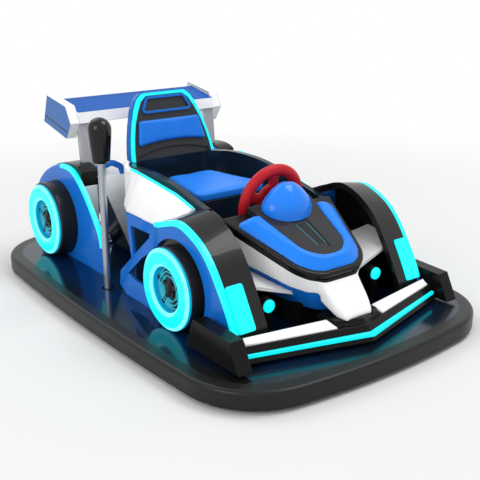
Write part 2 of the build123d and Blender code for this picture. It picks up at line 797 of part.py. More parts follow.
# corner light that climbs from the pod to the fender: y, x from, x to, level from, level to
climb_table = [
    (-100.0, pod_x - 8, pod_x + 2, lv(325.0), lv(334.0)),
    (-157.0, 380.0, 394.0, lv(364.0), lv(377.0)),
    (fender_rear_y, side_x, fender_out + 1, lv(374.0), lv(392.0)),
]

with BuildPart() as climb_light_left:
    for y, x0, x1, z0, z1 in climb_table:
        with BuildSketch(Plane.XZ.offset(-y)):
            with Locations(((x0 + x1) / 2, (z0 + z1) / 2)):
                Rectangle(x1 - x0, z1 - z0)
    loft(ruled=True)

# opening through the side: wheel arch with a tail towards the rear foot
with BuildPart() as side_opening:
    with BuildSketch(Plane.YZ.offset(pod_x - 60)) as opening_sk:
        with Locations((front_ring_y, front_ring_z)):
            Circle(arch_r)
        with BuildLine():
            Polyline(
                (47, lv(133)), (-19, lv(205)), (-100, lv(258)), (-178, lv(298)), (front_ring_y, lv(300)),
                (front_ring_y, lv(112)), (-5, lv(121)), close=True,
            )
        make_face()
        with Locations((fender_rear_y, front_ring_z)):
            Rectangle(-front_ring_y + fender_rear_y, 2 * arch_r, align=(Align.MAX, Align.MAX))
    extrude(amount=fender_out - pod_x + 80)

with BuildPart() as side_frame_left:
    for y, x_top, z_top, x_foot in frame_table:
        with BuildSketch(Plane.XZ.offset(-y)):
            with BuildLine():
                Polyline(
                    (x_top, z_top), (x_foot, deck_top), (x_foot - frame_thick, deck_top),
                    (x_top - frame_thick, z_top), close=True,
                )
            make_face()
    loft(ruled=True)
    # rear outline with its elbow, and the upper window
    with BuildSketch(Plane.YZ.offset(pod_x - 60)):
        with BuildLine():
            Polyline(
                (160, lv(331)), (140, lv(330)), (85, lv(242)), (46, lv(188)), (99, lv(129)),
                (88, lv(84)), (30, deck_top), (30, deck_top - 10), (160, deck_top - 10), close=True,
            )
        make_face()
        with BuildLine():
            Polyline((94, lv(294)), (-38, lv(294)), (-40, lv(281)), (36, lv(200)), close=True)
        make_face()
    extrude(amount=fender_out - pod_x + 80, mode=Mode.SUBTRACT)
    add(side_opening.part, mode=Mode.SUBTRACT)
    add(side_pod_left.part, mode=Mode.SUBTRACT)
    add(climb_light_left.part, mode=Mode.SUBTRACT)

# ---------------------------------------------------------------- front fenders
lamp_panel_in = 335.0
lamp_panel_h = 149.0
lamp_panel_y = -600.0
lamp_panel_z = lv(211.0)
lamp_panel_tilt = 29.6       # lean from the vertical, degrees
lamp_panel_thick = 15.0
lamp_plane = Plane(
    origin=((lamp_panel_in + side_x) / 2, lamp_panel_y, lamp_panel_z), x_dir=(1, 0, 0),
    z_dir=(0, -math.cos(math.radians(lamp_panel_tilt)), math.sin(math.radians(lamp_panel_tilt))),
)
with BuildPart() as front_lamp_left:
    with BuildSketch(lamp_plane):
        RectangleRounded(side_x - lamp_panel_in, lamp_panel_h, 9)
    extrude(amount=-lamp_panel_thick)

web_crest = towards(fender_crest_out, front_ring_y, front_ring_z, 8)
crest_low_out = towards(fender_crest_out, front_ring_y, front_ring_z, band_thick)
crest_low_in = towards(fender_crest_in, front_ring_y, front_ring_z, band_thick)
with BuildPart() as front_fender_left:
    with BuildSketch(Plane.YZ.offset(fender_in)):
        with BuildLine():
            Spline(*fender_crest_in)
            Polyline(
                fender_crest_in[-1], (fender_foot_in_y, deck_top), (fender_foot_in_y + band_thick, deck_top),
                crest_low_in[-1],
            )
            Spline(*reversed(crest_low_in))
            Line(crest_low_in[0], fender_crest_in[0])
        make_face()
    with BuildSketch(Plane.YZ.offset(side_x)):
        with BuildLine():
            Spline(*fender_crest_out)
            Polyline(
                fender_crest_out[-1], (fender_foot_y, deck_top), (fender_foot_y + band_thick, deck_top),
                crest_low_out[-1],
            )
            Spline(*reversed(crest_low_out))
            Line(crest_low_out[0], fender_crest_out[0])
        make_face()
    loft(ruled=True)
    # inner web behind the side plate
    with BuildSketch(Plane.YZ.offset(side_x - web_thick)):
        with BuildLine():
            Spline(*web_crest)
            Polyline(
                web_crest[-1], (fender_foot_y + 6, deck_top), (web_crest[0][0], deck_top), web_crest[0],
            )
        make_face()
    extrude(amount=web_thick)
    add(front_lamp_left.part, mode=Mode.SUBTRACT)

# shoulder that joins the fender to the pod and the tub
# y, x and top level at the tub, at the crease and at the side, thickness
shoulder_table = [
    (-94.0, tub_half - 10, lv(380.0), pod_light_x + 4, lv(380.0), pod_x - 2, lv(325.0), 14.0),
    (fender_rear_y, tub_half - 10, lv(398.0), fender_in, lv(396.0), side_x, lv(391.0), 18.0),
]
with BuildPart() as fender_shoulder_left:
    for y, x_in, z_in, x_mid, z_mid, x_side, z_side, thick in shoulder_table:
        with BuildSketch(Plane.XZ.offset(-y)):
            with BuildLine():
                Polyline(
                    (x_in, z_in), (x_mid, z_mid), (x_side, z_side), (x_side, z_side - thick),
                    (x_mid, z_mid - thick), (x_in, z_in - thick), close=True,
                )
            make_face()
    loft(ruled=True)
    with BuildSketch(Plane.YZ.offset(fender_in)):
        with BuildLine():
            Polyline(
                (fender_rear_y, lv(396)), (-278, lv(427)), (-278, lv(405)),
                (fender_rear_y, lv(378)), close=True,
            )
        make_face()
    extrude(amount=tub_half - 10 - fender_in)
    add(side_pod_left.part, mode=Mode.SUBTRACT)
    add(tub_block, mode=Mode.SUBTRACT)
    add(side_frame_left.part, mode=Mode.SUBTRACT)
    add(climb_light_left.part, mode=Mode.SUBTRACT)

light_low = towards(fender_crest_out, front_ring_y, front_ring_z, light_deep)
with BuildPart() as fender_light_left:
    with BuildSketch(Plane.YZ.offset(side_x)):
        with BuildLine():
            Spline(*fender_crest_out)
            Line(fender_crest_out[-1], light_low[-1])
            Spline(*reversed(light_low))
            Line(light_low[0], fender_crest_out[0])
        make_face()
    extrude(amount=fender_out - side_x + 1)

with BuildPart() as front_fender_side_left:
    with BuildSketch(Plane.YZ.offset(side_x)):
        with BuildLine():
            Spline(*fender_crest_out)
            Polyline(
                fender_crest_out[-1], (fender_foot_y, deck_top),
                (fender_rear_y, deck_top), fender_crest_out[0],
            )
        make_face()
    extrude(amount=side_face - side_x)
    add(side_opening.part, mode=Mode.SUBTRACT)
    add(fender_light_left.part, mode=Mode.SUBTRACT)

# ---------------------------------------------------------------- lit rings
spoke_count = 5
hub_dish = 14.0
hub_web = 9.0
hub_spoke_w = 14.0


def glow_ring(y, z, radius):
    """Flat lit ring on the outer face of a tyre form."""
    with BuildPart() as g:
        with BuildSketch(Plane.YZ.offset(ring_x)):
            with Locations((y, z)):
                Circle(radius)
                Circle(radius * ring_hole, mode=Mode.SUBTRACT)
        extrude(amount=ring_thick)
        fillet(g.faces().sort_by(Axis.X)[-1].edges(), ring_round)
    return g.part


def tyre_form(y, z, ring_r, tyre_r, x_in):
    """Tyre-shaped block behind a lit ring, dished in the middle and spoked."""
    hole_r = ring_r * ring_hole
    with BuildPart() as g:
        with BuildSketch(Plane.YZ.offset(x_in)):
            with Locations((y, z)):
                Circle(tyre_r)
        extrude(amount=ring_x - x_in)
        fillet(g.faces().sort_by(Axis.X)[-1].edges(), 6)
        with BuildSketch(Plane.YZ.offset(ring_x)):
            with Locations((y, z)):
                Circle(hole_r)
        extrude(amount=-hub_dish, mode=Mode.SUBTRACT)
        with BuildSketch(Plane.YZ.offset(ring_x - hub_dish)):
            with Locations((y, z)):
                Circle(hole_r * 0.28)
                with PolarLocations(hole_r / 2, spoke_count, start_angle=18):
                    Rectangle(hole_r, hub_spoke_w)
        extrude(amount=hub_web)
    return g.part


front_tyre_r = 139.0
rear_tyre_r = 149.0
rear_side_thick = 12.0
rear_fender_out = 378.0
rear_side_x = rear_fender_out - rear_side_thick
front_ring_form = glow_ring(front_ring_y, front_ring_z, front_ring_r)
rear_ring_form = glow_ring(rear_ring_y, rear_ring_z, rear_ring_r)
front_tyre_form = tyre_form(front_ring_y, front_ring_z, front_ring_r, front_tyre_r, side_x)
rear_tyre_form = tyre_form(rear_ring_y, rear_ring_z, rear_ring_r, rear_tyre_r, rear_fender_out)

# ---------------------------------------------------------------- rear fenders
box_wall = 6.0
box_air = 9.0                # fore and aft of the wheel, beyond wheel_gap
box_in = rear_wheel_x - rear_wheel_w / 2 - wheel_gap - box_wall
box_rear = rear_wheel_y + rear_wheel_r + wheel_gap + box_air + box_wall
box_front = 412.0
box_top = lv(373.0)
box_mid = (box_front + box_rear) / 2
rear_foot_front = 246.0
rear_foot_rear = 815.0
rear_light_wide = 16.0
side_round = 8.0
# y, level: outline of the rear side plate, rear to front
rear_crest = [
    (rear_foot_rear, lv(250.0)), (795.0, lv(317.0)), (758.0, lv(354.0)), (702.0, lv(390.0)),
    (642.0, lv(416.0)),
    (565.0, lv(438.0)), (511.0, lv(441.0)), (452.0, lv(428.0)), (413.0, lv(402.0)), (369.0, lv(362.0)),
    (326.0, lv(315.0)), (284.0, lv(262.0)), (256.0, lv(215.0)), (rear_foot_front + 1, lv(170.0)),
]
rear_light_low = towards(rear_crest[5:], 560.0, lv(120.0), rear_light_wide)
with BuildPart() as rear_light_left:
    with BuildSketch(Plane.YZ.offset(rear_side_x)):
        with BuildLine():
            Spline(*rear_crest[5:])
            Line(rear_crest[-1], rear_light_low[-1])
            Spline(*reversed(rear_light_low))
            Line(rear_light_low[0], rear_crest[5])
        make_face()
    extrude(amount=rear_fender_out - rear_side_x + 3)

with BuildPart() as rear_side_left:
    with BuildSketch(Plane.YZ.offset(rear_side_x)):
        with BuildLine():
            Spline(*rear_crest[:6])
            Spline(*rear_crest[5:])
            Polyline(rear_crest[-1], (rear_foot_front, deck_top), (rear_foot_rear, deck_top), rear_crest[0])
        make_face()
    extrude(amount=rear_side_thick)
    add(rear_light_left.part, mode=Mode.SUBTRACT)
    outer_edges = rear_side_left.faces().sort_by(Axis.X)[-1].edges()
    rear_edges = outer_edges.filter_by(lambda e: e.center().Y > rear_wheel_y)
    fillet(rear_edges.filter_by(lambda e: e.center().Z > deck_top + 1), side_round)

with BuildPart() as rear_top_left:
    with BuildSketch(Plane.YZ.offset(box_in - box_wall)):
        with BuildLine():
            Spline(
                (box_front, lv(431)), (450, lv(445)), (511, lv(448)), (565, lv(442)), (642, lv(417)),
                (box_rear - 10, lv(390)),
            )
            Polyline(
                (box_rear - 10, lv(390)), (box_rear, box_top), (box_front, box_top), (box_front, lv(431)),
            )
        make_face()
    extrude(amount=rear_side_x - box_in + box_wall)

with BuildPart() as rear_box_left:
    with BuildSketch(Plane.XY.offset(deck_top)):
        with Locations(((box_in + rear_side_x) / 2, box_mid)):
            Rectangle(rear_side_x - box_in, box_rear - box_front)
    extrude(amount=box_top - deck_top)
    with BuildSketch(Plane.XY.offset(deck_top)):
        with Locations(((box_in + rear_side_x) / 2, box_mid)):
            Rectangle(rear_side_x - box_in - 2 * box_wall, box_rear - box_front - 2 * box_wall)
    extrude(amount=box_top - deck_top - box_wall, mode=Mode.SUBTRACT)
    with Locations((box_in, rear_wheel_y, rear_axle_z)):
        Cylinder(axle_tube_r + fit, 4 * box_wall, rotation=(0, 90, 0), mode=Mode.SUBTRACT)
    with Locations((rear_side_x, rear_wheel_y, rear_axle_z)):
        Cylinder(axle_r + fit, 4 * box_wall, rotation=(0, 90, 0), mode=Mode.SUBTRACT)

# white body between the rear fenders
cover_front = 392.0
cover_rear = 560.0
cover_low_half = 165.0
cover_top = lv(403.0)
with BuildPart() as cover_box:
    with BuildSketch(Plane.XY.offset(deck_top)):
        with Locations((0, (cover_front + cover_rear) / 2)):
            Rectangle(2 * cover_low_half, cover_rear - cover_front)
    with BuildSketch(Plane.XY.offset(cover_top)):
        with Locations((0, (cover_front + cover_rear) / 2)):
            Rectangle(2 * box_in, cover_rear - cover_front)
    loft(ruled=True)
    add(rear_box_left.part, mode=Mode.SUBTRACT)
    add(rear_box_left.part.mirror(Plane.YZ), mode=Mode.SUBTRACT)
    add(rear_top_left.part, mode=Mode.SUBTRACT)
    add(rear_top_left.part.mirror(Plane.YZ), mode=Mode.SUBTRACT)

# white collar round the rear of the tub
collar_out = 20.0
collar_low = lv(350.0)
collar_top = lv(462.0)
collar_front = 190.0
with BuildPart() as rear_collar:
    with Locations((0, (collar_front + tub_rear + collar_out) / 2 - 200, collar_low)):
        Box(
            2 * (tub_half + collar_out), tub_rear + collar_out - collar_front + 400, collar_top - collar_low,
            align=low_centre,
        )
    fillet(rear_collar.edges().filter_by(Axis.Z).group_by(Axis.Y)[-1], tub_round + collar_out)
    fillet(rear_collar.faces().sort_by(Axis.Z)[-1].edges(), 12)
    with Locations((0, collar_front, collar_low - 1)):
        Box(4 * tub_half, 900, 400, align=(Align.CENTER, Align.MAX, Align.MIN), mode=Mode.SUBTRACT)
    add(tub_block, mode=Mode.SUBTRACT)
    add(side_pod_left.part, mode=Mode.SUBTRACT)
    add(side_pod_left.part.mirror(Plane.YZ), mode=Mode.SUBTRACT)
    add(pod_light_left.part, mode=Mode.SUBTRACT)
    add(pod_light_left.part.mirror(Plane.YZ), mode=Mode.SUBTRACT)

with BuildPart() as rear_cover:
    add(cover_box.part)
    add(rear_collar.part)

# bent tubes from the body behind the seat to the fender tops
stay_r = 12.0
stay_path = [
    (186.0, cover_front + 14, cover_top - 6), (196.0, cover_front + 14, lv(432.0)),
    (232.0, cover_front + 18, lv(452.0)), (box_in - box_wall, box_front + 30, lv(424.0)),
]
with BuildPart() as rear_stay_left:
    with BuildLine() as stay_line:
        FilletPolyline(*stay_path, radius=18)
    with BuildSketch(Plane(origin=stay_line.line @ 0, z_dir=stay_line.line % 0)):
        Circle(stay_r)
    sweep()
    add(rear_cover.part, mode=Mode.SUBTRACT)
    add(rear_top_left.part, mode=Mode.SUBTRACT)

# ---------------------------------------------------------------- rear wing
wing_plate_in = 317.6
wing_plate_out = 358.8
with BuildPart() as rear_wing_plates:
    for sx in (-1, 1):
        with BuildSketch(Plane.YZ.offset(sx * (wing_plate_in + wing_plate_out) / 2)):
            with BuildLine():
                Polyline(
                    (688, lv(692)), (529, lv(667)), (493, lv(604)), (534, lv(541)),
                    (732, lv(582)), close=True,
                )
            make_face()
        extrude(amount=(wing_plate_out - wing_plate_in) / 2, both=True)

with BuildPart() as rear_wing:
    with BuildSketch(Plane.YZ):
        with BuildLine():
            Polyline(
                (662, lv(676)), (676, lv(664)), (560, lv(606)), (489, lv(602)), (500, lv(645)), close=True,
            )
        make_face()
    extrude(amount=wing_plate_in, both=True)

strut_in = 218.0
strut_out = wing_plate_in
strut_thick = 30.0
with BuildPart() as rear_wing_struts:
    for sx in (-1, 1):
        with BuildSketch(Plane.YZ.offset(sx * (strut_in + strut_out) / 2)):
            with BuildLine():
                Polyline(
                    (478, cover_top), (478 + strut_thick, cover_top), (500 + strut_thick, lv(625)),
                    (500, lv(625)), close=True,
                )
            make_face()
        extrude(amount=(strut_out - strut_in) / 2, both=True)
    add(rear_wing.part, mode=Mode.SUBTRACT)
    add(rear_top_left.part, mode=Mode.SUBTRACT)
    add(rear_top_left.part.mirror(Plane.YZ), mode=Mode.SUBTRACT)

# ---------------------------------------------------------------- front wing
wing_end_x = 428.5
plate_out_x = 478.8
wing_low = lv(77.0)
wing_top = lv(122.0)
wing_light_low = lv(93.0)
wing_light_h = 10.0
wing_light_half = 415.0
wing_block_half = 98.0
wing_block_top = lv(138.0)
wing_foot_x = 250.0
wing_foot_y = -665.0


def vee_plan(front_mid, front_end, rear_mid, rear_end, half):
    """Swept plan of the front wing: an apex in the middle, ends swept back."""
    with BuildSketch() as s:
        with BuildLine():
            Polyline(
                (0, front_mid), (half, front_end), (half, rear_end), (0, rear_mid), (-half, rear_end),
                (-half, front_end), close=True,
            )
        make_face()
    return s.sketch


light_plan = vee_plan(-806, -688, -786, -668, wing_light_half)
wing_low_plan = vee_plan(-806, -690, -690, -630, wing_end_x)
wing_top_plan = vee_plan(-772, -664, -690, -630, wing_end_x)
with BuildPart() as front_wing_led:
    with BuildSketch(Plane.XY.offset(wing_light_low)):
        add(light_plan)
    extrude(amount=wing_light_h)

with BuildPart() as front_wing:
    with BuildSketch(Plane.XY.offset(wing_low)):
        add(wing_low_plan)
    with BuildSketch(Plane.XY.offset(wing_top)):
        add(wing_top_plan)
    loft(ruled=True)
    with BuildSketch(Plane.XY.offset(wing_top)):
        with BuildLine():
            Polyline(
                (-wing_block_half, -640), (-wing_block_half, -722), (0, -762), (wing_block_half, -722),
                (wing_block_half, -640), close=True,
            )
        make_face()
    extrude(amount=wing_block_top - wing_top, taper=20)
    with Locations((-wing_foot_x, wing_foot_y, deck_top), (wing_foot_x, wing_foot_y, deck_top)):
        Box(40, 40, 30, align=low_centre)
    add(front_wing_led.part, mode=Mode.SUBTRACT)
    for form in nose_outside:
        add(form, mode=Mode.SUBTRACT)
    for piece in (front_fender_left, front_fender_side_left, front_lamp_left):
        add(piece.part, mode=Mode.SUBTRACT)
        add(piece.part.mirror(Plane.YZ), mode=Mode.SUBTRACT)

inset_round = 3.0
# x, front y, front level, rear y, rear level
inset_table = [(100.0, -742.0, lv(127.5), -690.0, lv(137.0)), (402.0, -668.0, lv(128.0), -645.0, lv(143.0))]
with BuildPart() as front_inset_left:
    for x, yf, zf, yr, zr in inset_table:
        with BuildSketch(Plane.YZ.offset(x)):
            with BuildLine():
                Polyline((yf, wing_top), (yf, zf), (yr, zr), (yr, wing_top), close=True)
            make_face()
    loft(ruled=True)
    fillet(front_inset_left.faces().sort_by(Axis.Z)[-1].edges(), inset_round)
    add(front_fender_left.part, mode=Mode.SUBTRACT)
    add(front_lamp_left.part, mode=Mode.SUBTRACT)
    add(front_fender_side_left.part, mode=Mode.SUBTRACT)
    add(front_wing.part, mode=Mode.SUBTRACT)

with BuildPart() as front_wing_plate_left:
    with BuildSketch(Plane.YZ.offset(wing_end_x)):
        with BuildLine():
            Polyline((-505, lv(171)), (-691, lv(164)), (-738, lv(75)), (-468, lv(75)), close=True)
        make_face()
    extrude(amount=plate_out_x - wing_end_x)
    fillet(front_wing_plate_left.faces().sort_by(Axis.X)[-1].edges(), 3)

# ---------------------------------------------------------------- lamps, arms, lever
lamp_x = 237.0
lamp_y = -572.0
lamp_z = lv(177.0)
lamp_r = 21.0
lamp_thick = 8.0
lamp_can_r = 25.0
lamp_can_l = 30.0
post_w = 26.0
with BuildPart() as head_lamps:
    for sx in (-1, 1):
        with BuildSketch(Plane.XZ.offset(-lamp_y)):
            with Locations((sx * lamp_x, lamp_z)):
                Circle(lamp_r)
        extrude(amount=lamp_thick)
    fillet(head_lamps.faces().group_by(Axis.Y)[0].edges(), 3)

with BuildPart() as lamp_posts:
    for sx in (-1, 1):
        with Locations((sx * lamp_x, lamp_y, deck_top)):
            Box(post_w, lamp_can_l, lamp_z - deck_top, align=(Align.CENTER, Align.MIN, Align.MIN))
        with BuildSketch(Plane.XZ.offset(-lamp_y)):
            with Locations((sx * lamp_x, lamp_z)):
                Circle(lamp_can_r)
        extrude(amount=-lamp_can_l)

arm_thick = 12.0
# x, front y, front level, rear y, rear level
arm_table = [
    (120.0, -557.0, lv(193.0), -415.0, lv(213.0)),
    (fender_in, -548.0, lv(250.0), -385.0, lv(268.0)),
    (side_x - web_thick, -520.0, lv(262.0), -385.0, lv(280.0)),
]
with BuildPart() as suspension_arm_left:
    for x, yf, zf, yr, zr in arm_table:
        with BuildSketch(Plane.YZ.offset(x)):
            with BuildLine():
                Polyline((yf, zf), (yr, zr), (yr, zr - arm_thick), (yf, zf - arm_thick), close=True)
            make_face()
    loft(ruled=True)
    for form in nose_outside:
        add(form, mode=Mode.SUBTRACT)
    add(white_core, mode=Mode.SUBTRACT)
    add(blue_core, mode=Mode.SUBTRACT)
    add(front_fender_left.part, mode=Mode.SUBTRACT)

knob_bottom_z = lv(532.5)
knob_wide_z = lv(650.0)
knob_r = 41.0
knob_foot_r = 26.0
knob_seat = 30.0             # how far the rod enters the knob
hub_margin = 2.0
with BuildPart() as lever_rod:
    with Locations((lever_x, lever_y, lever_pivot_z)):
        Cylinder(
            lever_r, knob_bottom_z + knob_seat - lever_pivot_z,
            align=low_centre,
        )
        Cylinder(lever_r + hub_margin, 2 * (lug_x - lug_thick / 2) - 2, rotation=(0, 90, 0))
        Cylinder(lever_pin_r, 2 * lever_pin_half, rotation=(0, 90, 0))

with BuildPart() as lever_knob:
    with BuildSketch(Plane.XZ.offset(-lever_y)):
        with BuildLine():
            Polyline(
                (lever_x, knob_bottom_z), (lever_x + knob_foot_r, knob_bottom_z),
                (lever_x + knob_foot_r + 6, knob_bottom_z + 8), (lever_x + knob_r - 1, knob_wide_z - 20),
                (lever_x + knob_r, knob_wide_z),
            )
            CenterArc((lever_x, knob_wide_z), knob_r, 0, 90)
            Line((lever_x, knob_wide_z + knob_r), (lever_x, knob_bottom_z))
        make_face()
    revolve(axis=Axis((lever_x, lever_y, 0), (0, 0, 1)), revolution_arc=360)
    add(lever_rod.part, mode=Mode.SUBTRACT)

# ---------------------------------------------------------------- both sides together
with BuildPart() as side_pods:
    add(side_pod_left.part)
    mirror(about=Plane.YZ)

with BuildPart() as side_frames:
    add(side_frame_left.part)
    mirror(about=Plane.YZ)

with BuildPart() as edge_lights:
    add(pod_light_left.part)
    add(climb_light_left.part)
    add(fender_light_left.part)
    add(rear_light_left.part)
    mirror(about=Plane.YZ)

with BuildPart() as front_fenders:
    add(front_fender_left.part)
    mirror(about=Plane.YZ)

with BuildPart() as fender_shoulders:
    add(fender_shoulder_left.part)
    mirror(about=Plane.YZ)

with BuildPart() as front_fender_sides:
    add(front_fender_side_left.part)
    mirror(about=Plane.YZ)

with BuildPart() as front_lamps:
    add(front_lamp_left.part)
    mirror(about=Plane.YZ)

with BuildPart() as glow_rings:
    add(front_ring_form)
    add(rear_ring_form)
    mirror(about=Plane.YZ)

with BuildPart() as glow_hubs:
    add(front_tyre_form)
    add(rear_tyre_form)
    mirror(about=Plane.YZ)

with BuildPart() as rear_fender_sides:
    add(rear_side_left.part)
    mirror(about=Plane.YZ)

with BuildPart() as rear_fender_tops:
    add(rear_top_left.part)
    mirror(about=Plane.YZ)

with BuildPart() as rear_fender_boxes:
    add(rear_box_left.part)
    mirror(about=Plane.YZ)

with BuildPart() as rear_stays:
    add(rear_stay_left.part)
    mirror(about=Plane.YZ)

with BuildPart() as front_insets:
    add(front_inset_left.part)
    mirror(about=Plane.YZ)

with BuildPart() as front_wing_plates:
    add(front_wing_plate_left.part)
    mirror(about=Plane.YZ)

with BuildPart() as suspension_arms:
    add(suspension_arm_left.part)
    mirror(about=Plane.YZ)

# ---------------------------------------------------------------- export
os.makedirs("parts", exist_ok=True)
bumper_ring.part.label = "bumper_ring"
deck.part.label = "deck"
chassis_frame.part.label = "chassis_frame"
battery_block.part.label = "battery_block"
rear_axle.part.label = "rear_axle"
rear_wheel_left.part.label = "rear_wheel_left"
rear_wheel_right.part.label = "rear_wheel_right"
drive_wheel.part.label = "drive_wheel"
drive_fork.part.label = "drive_fork"
nose_skirt.part.label = "nose_skirt"
nose_cone.part.label = "nose_cone"
nose_side.part.label = "nose_side"
hood_rim.part.label = "hood_rim"
hood_pad.part.label = "hood_pad"
hood_console.part.label = "hood_console"
dash_dome.part.label = "dash_dome"
steering_wheel.part.label = "steering_wheel"
steering_column.part.label = "steering_column"
seat_tub.part.label = "seat_tub"
seat_pan.part.label = "seat_pan"
seat_cushion.part.label = "seat_cushion"
backrest_shell.part.label = "backrest_shell"
backrest_panel.part.label = "backrest_panel"
backrest_led.part.label = "backrest_led"
backrest_pad.part.label = "backrest_pad"
headrest_frame.part.label = "headrest_frame"
rear_cover.part.label = "rear_cover"
rear_stays.part.label = "rear_stays"
rear_wing_plates.part.label = "rear_wing_plates"
rear_wing.part.label = "rear_wing"
rear_wing_struts.part.label = "rear_wing_struts"
front_wing.part.label = "front_wing"
front_wing_led.part.label = "front_wing_led"
head_lamps.part.label = "head_lamps"
lamp_posts.part.label = "lamp_posts"
lever_rod.part.label = "lever_rod"
lever_knob.part.label = "lever_knob"
side_pods.part.label = "side_pods"
side_frames.part.label = "side_frames"
edge_lights.part.label = "edge_lights"
front_fenders.part.label = "front_fenders"
fender_shoulders.part.label = "fender_shoulders"
front_fender_sides.part.label = "front_fender_sides"
front_lamps.part.label = "front_lamps"
glow_rings.part.label = "glow_rings"
glow_hubs.part.label = "glow_hubs"
rear_fender_sides.part.label = "rear_fender_sides"
rear_fender_tops.part.label = "rear_fender_tops"
rear_fender_boxes.part.label = "rear_fender_boxes"
front_insets.part.label = "front_insets"
front_wing_plates.part.label = "front_wing_plates"
suspension_arms.part.label = "suspension_arms"
export_step(bumper_ring.part, "parts/bumper_ring.step")
export_step(deck.part, "parts/deck.step")
export_step(chassis_frame.part, "parts/chassis_frame.step")
export_step(battery_block.part, "parts/battery_block.step")
export_step(rear_axle.part, "parts/rear_axle.step")
export_step(rear_wheel_left.part, "parts/rear_wheel_left.step")
export_step(rear_wheel_right.part, "parts/rear_wheel_right.step")
export_step(drive_wheel.part, "parts/drive_wheel.step")
export_step(drive_fork.part, "parts/drive_fork.step")
export_step(nose_skirt.part, "parts/nose_skirt.step")
export_step(nose_cone.part, "parts/nose_cone.step")
export_step(nose_side.part, "parts/nose_side.step")
export_step(hood_rim.part, "parts/hood_rim.step")
export_step(hood_pad.part, "parts/hood_pad.step")
export_step(hood_console.part, "parts/hood_console.step")
export_step(dash_dome.part, "parts/dash_dome.step")
export_step(steering_wheel.part, "parts/steering_wheel.step")
export_step(steering_column.part, "parts/steering_column.step")
export_step(seat_tub.part, "parts/seat_tub.step")
export_step(seat_pan.part, "parts/seat_pan.step")
export_step(seat_cushion.part, "parts/seat_cushion.step")
export_step(backrest_shell.part, "parts/backrest_shell.step")
export_step(backrest_panel.part, "parts/backrest_panel.step")
export_step(backrest_led.part, "parts/backrest_led.step")
export_step(backrest_pad.part, "parts/backrest_pad.step")
export_step(headrest_frame.part, "parts/headrest_frame.step")
export_step(rear_cover.part, "parts/rear_cover.step")
export_step(rear_stays.part, "parts/rear_stays.step")
export_step(rear_wing_plates.part, "parts/rear_wing_plates.step")
export_step(rear_wing.part, "parts/rear_wing.step")
export_step(rear_wing_struts.part, "parts/rear_wing_struts.step")
export_step(front_wing.part, "parts/front_wing.step")
export_step(front_wing_led.part, "parts/front_wing_led.step")
export_step(head_lamps.part, "parts/head_lamps.step")
export_step(lamp_posts.part, "parts/lamp_posts.step")
export_step(lever_rod.part, "parts/lever_rod.step")
export_step(lever_knob.part, "parts/lever_knob.step")
export_step(side_pods.part, "parts/side_pods.step")
export_step(side_frames.part, "parts/side_frames.step")
export_step(edge_lights.part, "parts/edge_lights.step")
export_step(front_fenders.part, "parts/front_fenders.step")
export_step(fender_shoulders.part, "parts/fender_shoulders.step")
export_step(front_fender_sides.part, "parts/front_fender_sides.step")
export_step(front_lamps.part, "parts/front_lamps.step")
export_step(glow_rings.part, "parts/glow_rings.step")
export_step(glow_hubs.part, "parts/glow_hubs.step")
export_step(rear_fender_sides.part, "parts/rear_fender_sides.step")
export_step(rear_fender_tops.part, "parts/rear_fender_tops.step")
export_step(rear_fender_boxes.part, "parts/rear_fender_boxes.step")
export_step(front_insets.part, "parts/front_insets.step")
export_step(front_wing_plates.part, "parts/front_wing_plates.step")
export_step(suspension_arms.part, "parts/suspension_arms.step")
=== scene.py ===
"""Finishes, pads, moulded shells and studio for a racer style ride car on a rubber bumper ring."""

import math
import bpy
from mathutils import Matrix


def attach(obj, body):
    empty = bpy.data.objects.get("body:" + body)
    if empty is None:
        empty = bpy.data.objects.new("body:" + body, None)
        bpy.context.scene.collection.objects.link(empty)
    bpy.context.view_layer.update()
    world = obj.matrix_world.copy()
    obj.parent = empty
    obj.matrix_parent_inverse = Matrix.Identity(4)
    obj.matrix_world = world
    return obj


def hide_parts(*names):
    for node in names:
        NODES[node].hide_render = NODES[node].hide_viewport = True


bl_info = {
    "name": "Ride car finishes",
    "version": (1, 0, 0),
    "blender": (4, 5, 0),
    "location": "3D View > Sidebar > Ride car",
    "description": "Gives a racer style ride car its finishes, pads, moulded shells and studio",
    "category": "Object",
}

import bmesh
import bpy
import numpy as np
from bpy.props import FloatProperty, FloatVectorProperty, PointerProperty
from mathutils import Matrix, Vector

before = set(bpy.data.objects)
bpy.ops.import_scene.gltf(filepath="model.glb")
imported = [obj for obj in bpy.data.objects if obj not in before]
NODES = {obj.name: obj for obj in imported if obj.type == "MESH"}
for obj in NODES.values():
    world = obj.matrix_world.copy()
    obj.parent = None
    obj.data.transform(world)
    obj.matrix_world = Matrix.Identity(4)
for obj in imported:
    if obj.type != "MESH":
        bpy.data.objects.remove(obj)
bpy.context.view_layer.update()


# ------------------------------------------------------------ shader maths

